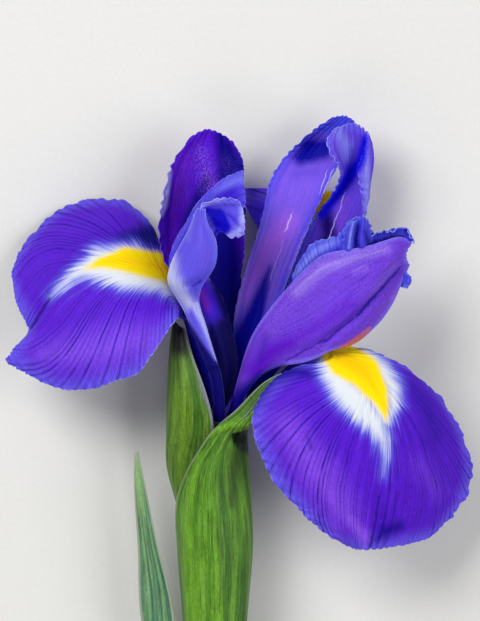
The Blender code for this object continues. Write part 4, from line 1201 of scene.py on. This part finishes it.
def style_arm_right_crest():
    """The frilled crest behind the boat's lip: a panel, a curl, a ruffle and a scrap."""
    panel_rows = [
        [(12.6, 25.6, 8.6), (12.5, 26.8, 8.2), (12.4, 27.8, 7.4)],
        [(15, 28.2, 9.2), (14.4, 29.8, 9.4), (14, 30.9, 8.4)],
        [(18, 30.6, 9.8), (17.4, 33, 9.8), (17, 34.6, 8.8)],
        [(21.6, 31.8, 10.2), (21.2, 34, 10.4), (21, 35.6, 9.2)],
        [(24.6, 32.4, 10.4), (24, 35.6, 10.2), (23.6, 38.4, 9)],
        [(27, 33, 10), (26.6, 36.2, 9.6), (26.4, 39.4, 8.8)],
        [(29.2, 33.6, 9.6), (28.8, 34.8, 9.6), (28.6, 35.8, 8.8)],
        [(31.4, 34, 9.2), (31, 35.4, 9), (30.8, 36.4, 8.2)],
        [(33.6, 34.2, 8.8), (33.8, 35.8, 8.6), (34, 37.2, 7.8)],
        [(35.4, 33.6, 8.2), (36, 34.6, 8), (36.4, 35.2, 7.2)],
    ]
    curl_rows = [
        [(22.4, 33, 10.6), (23.6, 32.8, 12.4), (24.9, 33.2, 11), (26, 33.4, 12.8), (27.8, 33.8, 10.6)],
        [(22.6, 35, 10.8), (23.8, 34.8, 13.2), (25.1, 35.2, 10.9), (26.2, 35.6, 12.9), (28.2, 35.4, 10.4)],
        [(23, 37.2, 10.6), (24.2, 37.2, 12.9), (25.4, 37.6, 10.7), (26.4, 37.6, 12.4), (28, 36.8, 10.2)],
        [(23.8, 38.6, 10.2), (24.8, 38.8, 12), (25.7, 39.2, 10.4), (26.6, 39.4, 11.6), (27.6, 38.4, 10)],
    ]
    ruffle_rows = [
        [(28.4, 33.6, 10.2), (28, 35, 10.2), (28, 35.6, 11.2)],
        [(30.4, 34.2, 10.2), (30.4, 36.2, 9.8), (30.2, 36.6, 11.2)],
        [(32.6, 34.6, 9.8), (32.6, 36.4, 9.6), (32.4, 36.6, 11.2)],
        [(34.4, 34.6, 9.2), (34.9, 37, 9), (34.6, 37.4, 10.4)],
        [(35.6, 33.6, 8.8), (36.3, 34.9, 8.6), (36.4, 34.6, 9.8)],
    ]
    scrap_rows = [
        [(33.6, 29, 8.2), (34.6, 28.8, 8.6), (35.2, 28.6, 8)],
        [(33.8, 27.2, 7.8), (35, 27, 8.4), (36, 27.2, 7.8)],
        [(33.6, 25.8, 7.4), (34.6, 25.4, 8), (35.4, 25.6, 7.4)],
    ]
    # Painted shade in the folds of the curl and the ruffle, and along the panel.
    panel_zones = {
        "pale": [(0.5, 1, [(13, 28, 0.8), (17, 32.6, 1), (21, 34.6, 0.8)])],
        "shade_and_dark_pigment": [
            (0.9, 0.8, [(24, 33.4, 0.4), (28, 34.2, 0.5), (32, 35, 0.5), (35, 35, 0.3)]),
            (0.4, 0.5, [(14.6, 28.6, 0.2), (18.6, 31.4, 0.3), (22, 33, 0.3)]),
        ],
    }
    curl_zones = {
        "shade_and_dark_pigment": [(0.9, 0.9, [(25.6, 33.2, 0.5), (25, 35.4, 0.4), (25.8, 37.6, 0.2)]),
                  (0.9, 1, [(27.6, 33.4, 0.6), (27, 35.2, 0.4), (26.6, 36.6, 0.2)])],
        "pale": [(0.7, 0.5, [(23.6, 33.4, 0.3), (23.9, 36, 0.3), (24.4, 38.2, 0.2)])],
    }
    ruffle_zones = {"shade_and_dark_pigment": [(1.2, 0.7, [(29, 34.4, 0.6), (32.4, 35, 0.7), (34.2, 35.4, 0.4)])]}
    finish = petal_finish("right crest petal skin", "#4A44DA", "#5E6EEC", "#12067E", "#5A5CE6", "#8E9CF4",
                          "#B9C8FF", "#2A20B4", veins=0.6, speckle=0.14, tint_reach=1.2, fibres=0.22,
                          rim_light_strength=0.5)
    for part, rows, along, across, veins, zones, frills, pleats in (
        ("panel", panel_rows, 170, 40, (comb_veins, 44), panel_zones, (0.42, 0.8, 0, 61), (0.14, 2.6, 1.6)),
        ("curl", curl_rows, 70, 70, (long_veins, 10), curl_zones, (0.5, 0.9, 0, 62), (0.14, 2.6, 1.6)),
        ("ruffle", ruffle_rows, 90, 40, (comb_veins, 14), ruffle_zones, (0.4, 0.9, 0, 63), (0.14, 2.4, 1)),
        ("scrap", scrap_rows, 40, 40, (long_veins, 6), {}, (0.34, 0.7, 0, 64), (0.2, 2, 1)),
    ):
        sheet("style_arm_right", part, finish, rows, along, across, veins, zones,
              frills=frills, pleats=pleats, crimps=(0.22, 1.7, 0.8, 77))


def style_arm_rear():
    """Tall petal-like arm on the right, with the curled lobe at its top."""
    rows = [
        style_foot(REAR),
        [(0.6, 9.6, -2.4), (2, 9.4, -4), (4, 9, -2.6)],
        [(0.9, 19.6, -3.2), (5, 19.2, -5), (8.6, 18.6, -4)],
        [(3.2, 29.2, -4.6), (7.8, 28.8, -5.6), (12, 28, -5.2)],
        [(6.2, 39.2, -5), (11.6, 38.8, -5.8), (16.3, 38.6, -4.8)],
        [(9, 48.6, -5.4), (14.6, 47.4, -6), (19.9, 46.4, -4.4)],
        [(14, 54.8, -5.4), (17.6, 53.2, -7), (22.6, 51.4, -4)],
        [(17.8, 58, -4.6), (20.8, 57.2, -5.4), (24.4, 55.6, -3.6)],
        [(20.6, 59.6, -3.6), (23.4, 59.9, -3.2), (25.8, 57.9, -3)],
    ]
    # Painted shade in the dark wedge at the foot, under the other parts; a navy patch near the top that is
    # part pigment, part painted shade in its hollow; the pink band is its tint, lightened with painted light
    # where it lies in shade; and painted highlights on the creases.
    zones = {
        "shade_and_dark_pigment": [
            (1.4, 2.8, [(14.4, 52, 1.2), (16.4, 53.4, 2.1), (18.8, 53.6, 1.8)]),
            (0.45, 3.6, [(13.4, 48.4, 1.2), (17, 49, 1.4)]),
            (1.2, 1.9, [(0.8, 6, 3), (2.6, 12, 3.1), (3.8, 16, 2.7), (5.4, 21, 1.7),
                        (6.9, 26, 0.9), (8, 29.6, 0.1)]),
        ],
        "painted_light_and_tint": [(0.9, 3, [(2.6, 22.6, 0.4), (4.6, 27.4, 1.2), (8.4, 34.2, 2), (11.8, 39, 1.5)])],
        "flush_and_shade": [(1, 2, [(19, 58, 1.6), (22.4, 58.4, 2.2), (25, 57.6, 1.6)])],
        "pale": [(0.3, 1, [(3.6, 29, 0.5), (7, 38, 0.7), (9, 44, 0.6)]),
                 (0.6, 0.6, [(1, 19, 0.3), (2, 24, 0.4), (3.4, 29, 0.3), (4.4, 33, 0.2)]),
                 (0.5, 1.2, [(12.4, 29.4, 0.5), (15.8, 36, 0.6)])],
    }
    painted_creases = [((12.8, 40.8), (11, 36.6), 0.14, 0.8, "#E6DDF8"),
               ((10.9, 35.4), (8, 26.6), 0.12, 0.6, "#C9B6EC"),
               ((21, 50), (18.8, 44.4), 0.12, 0.7, "#D9CDF6"),
               ((19.8, 49.4), (17.9, 44), 0.12, 0.6, "#D9CDF6")]
    finish = petal_finish("rear style petal skin", "#7E5AE8", "#5A4CE4", "#0202A0", "#AE66F4", "#AC88F4",
                          "#B4BCFA", "#3A24BE", veins=0.2, speckle=0.1, tint_reach=3, flush_and_shade="#4A4EE0",
                          painted_creases=painted_creases)
    sheet("style_arm_rear", "petal", finish, rows, 200, 100, (long_veins, 20), zones,
          frills=(0.42, 1.2, 0.3, 66), pleats=(0.14, 3, 2.4), crimps=(0.14, 2.2, 0.9, 78))


def spathe_front():
    """Sheath in front: it wraps the stem and bends its tip out to the right."""
    rows = [
        wrap(OUTER_BRACT_FOOT, STEM_RADIUS + INNER_BRACT_GAP, 205, -35),
        wrap(-79, STEM_RADIUS + OUTER_BRACT_GAP, 205, -35),
        wrap(-62, 5.8, 205, -35),
        wrap(-42, 6.5, 200, -30),
        wrap(-26, 7.7, 190, -20),
        [(-10.4, -15.6, 1.6), (-7.6, -13.6, 5), (-3.2, -12.4, 6.6), (1.6, -12.4, 4.8), (4.2, -13.6, 0)],
        [(-6.2, -7, 5.8), (-4, -6.6, 6.8), (-1.6, -6.2, 7.2), (1.4, -6.2, 6.6), (3.6, -6.6, 3.8)],
        [(-2.5, -2.1, 7), (-1, -2.2, 7.4), (0.6, -2.3, 7.6), (2.2, -2.4, 7.4), (3.8, -2.6, 6.8)],
        [(1.4, 1.2, 8), (3.6, 0.4, 8.2), (5.4, -0.2, 7.8)],
        [(6, 5.9, 9.4), (6.8, 4.8, 9.4), (7.6, 3.8, 9)],
        [(10.2, 8.4, 10.2), (10.6, 8, 10.2), (10.9, 7.6, 10.1)],
    ]
    # Painted shadow under the lip, fading downwards in painted shade; painted light on the lit fold of the
    # lip and down the left side.
    zones = {
        "shade_and_dark_pigment": [
            (1.8, 0.5, [(0.7, -3.9, 0.4), (1, -5.2, 0.5)]),
            (1.8, 0.6, [(1.8, -4.4, 1.2), (3.6, -4.6, 1.8)]),
            (1.1, 2.2, [(2, -6, 1.4), (3.6, -6.4, 1.4)]),
            (0.7, 2, [(1.4, -6.8, 1.6), (0.8, -12, 1.5), (0.2, -18, 1)]),
            (0.45, 2, [(0.4, -16, 1), (0.2, -28, 1), (0.6, -36, 0.4)]),
            (0.5, 1, [(-1.4, -9, 0.2), (-2, -22, 0.5), (-1.4, -38, 0.3)]),
            (0.5, 1.2, [(3.2, -24, 0.4), (2.4, -50, 0.8)]),
        ],
        "painted_light_and_tint": [(0.8, 1.6, [(-6, -8, 0.8), (-8.6, -20, 1), (-7.4, -34, 1.2), (-6.4, -50, 1.2)]),
                 (1, 0.4, [(-6, -5.2, 0.4), (-2.4, -2.9, 0.6), (0.6, -1.8, 0.5), (4.6, -1.8, 0.4)]),
                 (0.8, 0.8, [(1.6, -1, 0.6), (4, -0.4, 0.8), (6.4, 3, 0.6)])],
        "pale": [(0.42, 0.8, [(2.8, -0.6, 0.7), (6, 3.6, 0.7), (9, 6.8, 0.6)])],
    }
    finish = leaf_finish("front bract skin", "#3C7210", "#6EA42A", "#052004", "#A4C478", "#9CA694")
    sheet("spathe_bract_front", "leaf", finish, rows, 190, 90, (long_veins, 30), zones,
          wall=LEAF_WALL, pleats=(0.12, 4, 30),
          dents=[(1.7, 0.9, [(1.4, -4.6, 0.4), (3.6, -4.9, 1)]),
                 (-0.6, 0.6, [(-6.4, -4.4, 0.1), (0, -1.6, 0.2), (4.4, -1.9, 0.2)])])


def spathe_back():
    """Sheath behind, nearest to the stem, with a dark tip."""
    inner = STEM_RADIUS + INNER_BRACT_GAP
    rows = [
        wrap(SPATHE_FOOT, inner, 160, 380),
        wrap(-62, 4.4, 160, 380),
        wrap(-42, 5.1, 150, 370),
        wrap(-26, 6.1, 145, 360),
        [(-4.6, -12, 3.2), (-11.7, -12, -2.8), (-10.6, -12, -6.2), (-4.2, -12, -7.4),
         (1.6, -12, -5.6)],
        [(-3.4, -1, 5.6), (-10.2, -1, 3.4), (-12.5, -1, -2), (-8.8, -1, -6.4),
         (-3.4, -1, -7.4)],
        [(-6.8, 10.2, 4.6), (-10.4, 10.6, 3), (-12.1, 10.8, -0.6), (-10.8, 10.6, -3.8),
         (-8.2, 10.2, -5.2)],
        [(-9.2, 17.2, 2.6), (-10.6, 18.2, 1.6), (-11.2, 18.8, 0.4), (-11, 18.2, -0.8), (-10.4, 17.4, -1.8)],
    ]
    zones = {
        "shade_and_dark_pigment": [(1.2, 3, [(-10.4, 19.6, 2), (-9.8, 13.6, 1.6)])],
        "painted_light_and_tint": [(0.8, 3, [(-10, 4, 1), (-9.6, -6, 1.6), (-9.4, -12, 1.2)])],
        "pale": [(0.7, 0.8, [(-7.2, 13, 0.5), (-5, 4, 0.6), (-2.2, -2, 0.6)])],
    }
    finish = leaf_finish("back bract skin", "#3C6A10", "#688E22", "#12100A", "#A0BA70", "#86829C")
    sheet("spathe_bract_back", "leaf", finish, rows, 170, 80, (long_veins, 26), zones,
          wall=LEAF_WALL, pleats=(0.1, 4, 30))


def stem_leaf():
    """Narrow leaf: its foot wraps the stem, and its blade tapers to a point."""
    sheath = STEM_RADIUS + LEAF_SHEATH_GAP
    rows = [
        wrap(-126, sheath, 40, 320, count=9),
        wrap(-108, sheath + 0.2, 50, 310, count=9),
        [(-3.4, -99, -3), (-9.2, -99, -7.8), (-4.6, -99, -12.6)],
        [(-6.2, -90, -2.2), (-10.6, -90, -7.4), (-7.4, -90, -12.6)],
        [(-10.2, -68, -0.4), (-13.8, -68, -4.4), (-12, -68, -9.4)],
        [(-11, -44, -1), (-14.2, -44, -3.4), (-17.6, -44, -5.4)],
        [(-13.9, -29, -1.6), (-15.9, -29, -3), (-18.5, -29, -4.4)],
        [(-16.6, -17, -2.6), (-17.8, -17, -3.2), (-19.2, -17, -4)],
        [(-18.6, -7.8, -3.4), (-18.9, -7.6, -3.5), (-19.2, -7.8, -3.6)],
    ]
    zones = {
        "painted_light_and_tint": [(1.1, 1.4, [(-17.8, -20, 0.5), (-18.8, -10, 0.9)]),
                 (0.7, 2, [(-13, -50, 1.2), (-12, -60, 1.4)])],
        "pale": [(0.8, 0.6, [(-18.8, -9.2, 0.4), (-19, -7.6, 0.4)])],
    }
    finish = leaf_finish("stem leaf skin", "#3E765A", "#86AE72", "#285246", "#A4C2A8", "#A4AC94", ribbing=0.2)
    sheet("stem_leaf", "blade", finish, rows, 190, 60, (long_veins, 16), zones, wall=LEAF_WALL,
          pleats=(0.08, 3, 30))


def stem():
    """Round stem with its fine ribs and its cut end."""
    path = [(SPATHE_MIDDLE, y, stem_height(y)) for y in np.linspace(STEM_CUT, STEM_TOP, STEM_RINGS)]
    piece = stalk("stem_stalk", path, [STEM_RADIUS] * STEM_RINGS, 48, ribs=0.006)[0]
    finish = stalk_finish("stem skin", "#4C7A28", "#2E5A16", "#7FA04C")
    dress(piece, "stem", finish)
    piece.data.materials.append(cut_finish("cut stem pith"))
    cut = (STEM_CUT + 0.1 + PLACE[1]) * MM
    for face in piece.data.polygons:
        if face.center.y < cut:
            face.material_index = 1


def ovary():
    """Stalk, ovary and the short flower tube that flares under the petals."""
    rim = THROAT[1] + FOOT_LIFT - FOOT_GAP
    stations = [
        (STEM_TOP + STALK_GAP, 1.7), (-66, 1.5), (-58, 1.6), (-50, 2.4), (-40, 2.9),
        (-28, 3), (-17, 2.6), (-9, 2.1), (-5, 2.6), (rim, 4.4),
    ]
    ends = np.linspace(stations[0][0], rim, OVARY_RINGS)
    radii = np.interp(ends, [y for y, radius in stations], [radius for y, radius in stations])
    path = []
    for y in ends:
        lean = (y - THROAT[1]) / (STEM_TOP - THROAT[1])
        x = THROAT[0] + (SPATHE_MIDDLE - THROAT[0]) * math.sin(lean * math.pi / 2)
        path.append((x, y, stem_height(y)))
    piece = stalk("ovary_stalk", path, radii, 36)[0]
    finish = stalk_finish("ovary skin", "#5E8A34", "#3E6A1E", "#8FB060")
    dress(piece, "ovary", finish)


def anther_swell(along):
    """How far the stalk has swelled into its anther: it starts halfway and tapers at the tip."""
    rise = min(1, max(0, (along - 0.5) * 8))
    taper = min(1, (1 - along) * 6 + 0.3)
    return rise * taper


def stamen(side, direction, route, material):
    """A thin filament with its long anther under the style arm."""
    angle = math.radians(direction)
    foot = (
        THROAT[0] + STAMEN_RING * math.cos(angle),
        THROAT[1] + STAMEN_LIFT,
        THROAT[2] - STAMEN_RING * math.sin(angle),
    )
    path = spline_weights(len(route) + 1, np.linspace(0, 1, STAMEN_STEPS + 1)) @ np.array([foot] + route)
    swells = np.array([anther_swell(i / STAMEN_STEPS) for i in range(STAMEN_STEPS + 1)])
    radii = FILAMENT_RADIUS + (ANTHER_RADIUS - FILAMENT_RADIUS) * swells
    piece, ring = stalk("stamen_" + side + "_stalk", path, radii, 20)
    layer = piece.data.attributes.new("anther", "FLOAT", "POINT")
    layer.data.foreach_set("value", np.clip(swells[ring] * 2, 0, 1).astype(np.float32))
    dress(piece, "stamen_" + side, material)


def stamens():
    pollen = pollen_finish("anther and pollen")
    stamen("left", LEFT, [(-3, 7.4, 1.4), (-4.6, 14.6, 2), (-7, 20.4, 2.8)], pollen)
    stamen("right", RIGHT + 18, [(1.75, 0.6, 1.7), (2.7, 4, 3.2), (5.6, 8, 4.8), (9.4, 12.4, 7),
                                   (16.4, 16.6, 10)], pollen)
    stamen("rear", REAR, [(1.8, 9.2, -5.4), (6.4, 19.6, -8.2), (10.4, 28.8, -9.8)], pollen)


def floor():
    """The board that the flower lies on, in metres, a hair under the surface."""
    bpy.ops.object.select_all(action="DESELECT")
    bpy.ops.mesh.primitive_plane_add(size=FLOOR_SIZE, location=(0.0, 0.0, -FLOOR_DROP))
    board = bpy.context.object
    board.name = "floor"
    bpy.ops.object.transform_apply(location=True, rotation=True, scale=True)
    board.data.materials.append(floor_finish("pale matt board"))


def lamp(name, place, size, power, aim):
    """A square soft light that faces its aim. Places are metres from the middle of the surface."""
    light = bpy.data.lights.new(name, "AREA")
    light.size = size
    light.energy = power
    holder = bpy.data.objects.new(name, light)
    holder.location = place
    toward = np.array(aim) - np.array(place)
    distance = np.linalg.norm(toward)
    turn = math.atan2(toward[0], -toward[1]) + math.pi
    holder.rotation_euler = (math.acos(-toward[2] / distance), 0.0, turn)
    bpy.context.scene.collection.objects.link(holder)


def lights():
    """A softbox from the upper left, two weaker ones, a dim studio round them and plain colours."""
    bloom = (0.0, 0.06, 0.01)
    lamp("upper left softbox", (-0.38, 0.42, 0.62), 0.45, 5.0, bloom)
    lamp("right softbox", (0.5, 0.0, 0.55), 0.5, 2.7, bloom)
    lamp("lower softbox", (-0.1, -0.5, 0.6), 0.5, 1.0, bloom)
    world = bpy.data.worlds.new("studio")
    world.use_nodes = True
    world.node_tree.nodes["Background"].inputs["Color"].default_value = linear("#F2F3F6")
    world.node_tree.nodes["Background"].inputs["Strength"].default_value = 0.2
    bpy.context.scene.world = world
    bpy.context.scene.view_settings.view_transform = "Standard"


def camera():
    """Looks straight down on the lying flower, as the photograph looks at it from the front."""
    data = bpy.data.cameras.new("camera")
    data.lens = LENS
    data.sensor_width = SENSOR
    height = VIEW_HEIGHT * LENS / SENSOR + VIEW_LEVEL
    holder = bpy.data.objects.new("camera", data)
    middle = (VIEW_MIDDLE[0], VIEW_MIDDLE[1], height)
    holder.location = [(length + shift) * MM for length, shift in zip(middle, PLACE)]
    data.clip_start = 0.01
    data.clip_end = 10.0
    bpy.context.scene.collection.objects.link(holder)
    bpy.context.scene.camera = holder


camera()
lights()
floor()
stem()
stem_leaf()
spathe_back()
spathe_front()
ovary()
fall_left()
fall_right()
fall_rear()
standard_left()
standard_front()
standard_right()
style_arm_left()
style_arm_right_body()
style_arm_right_crest()
style_arm_rear()
stamens()
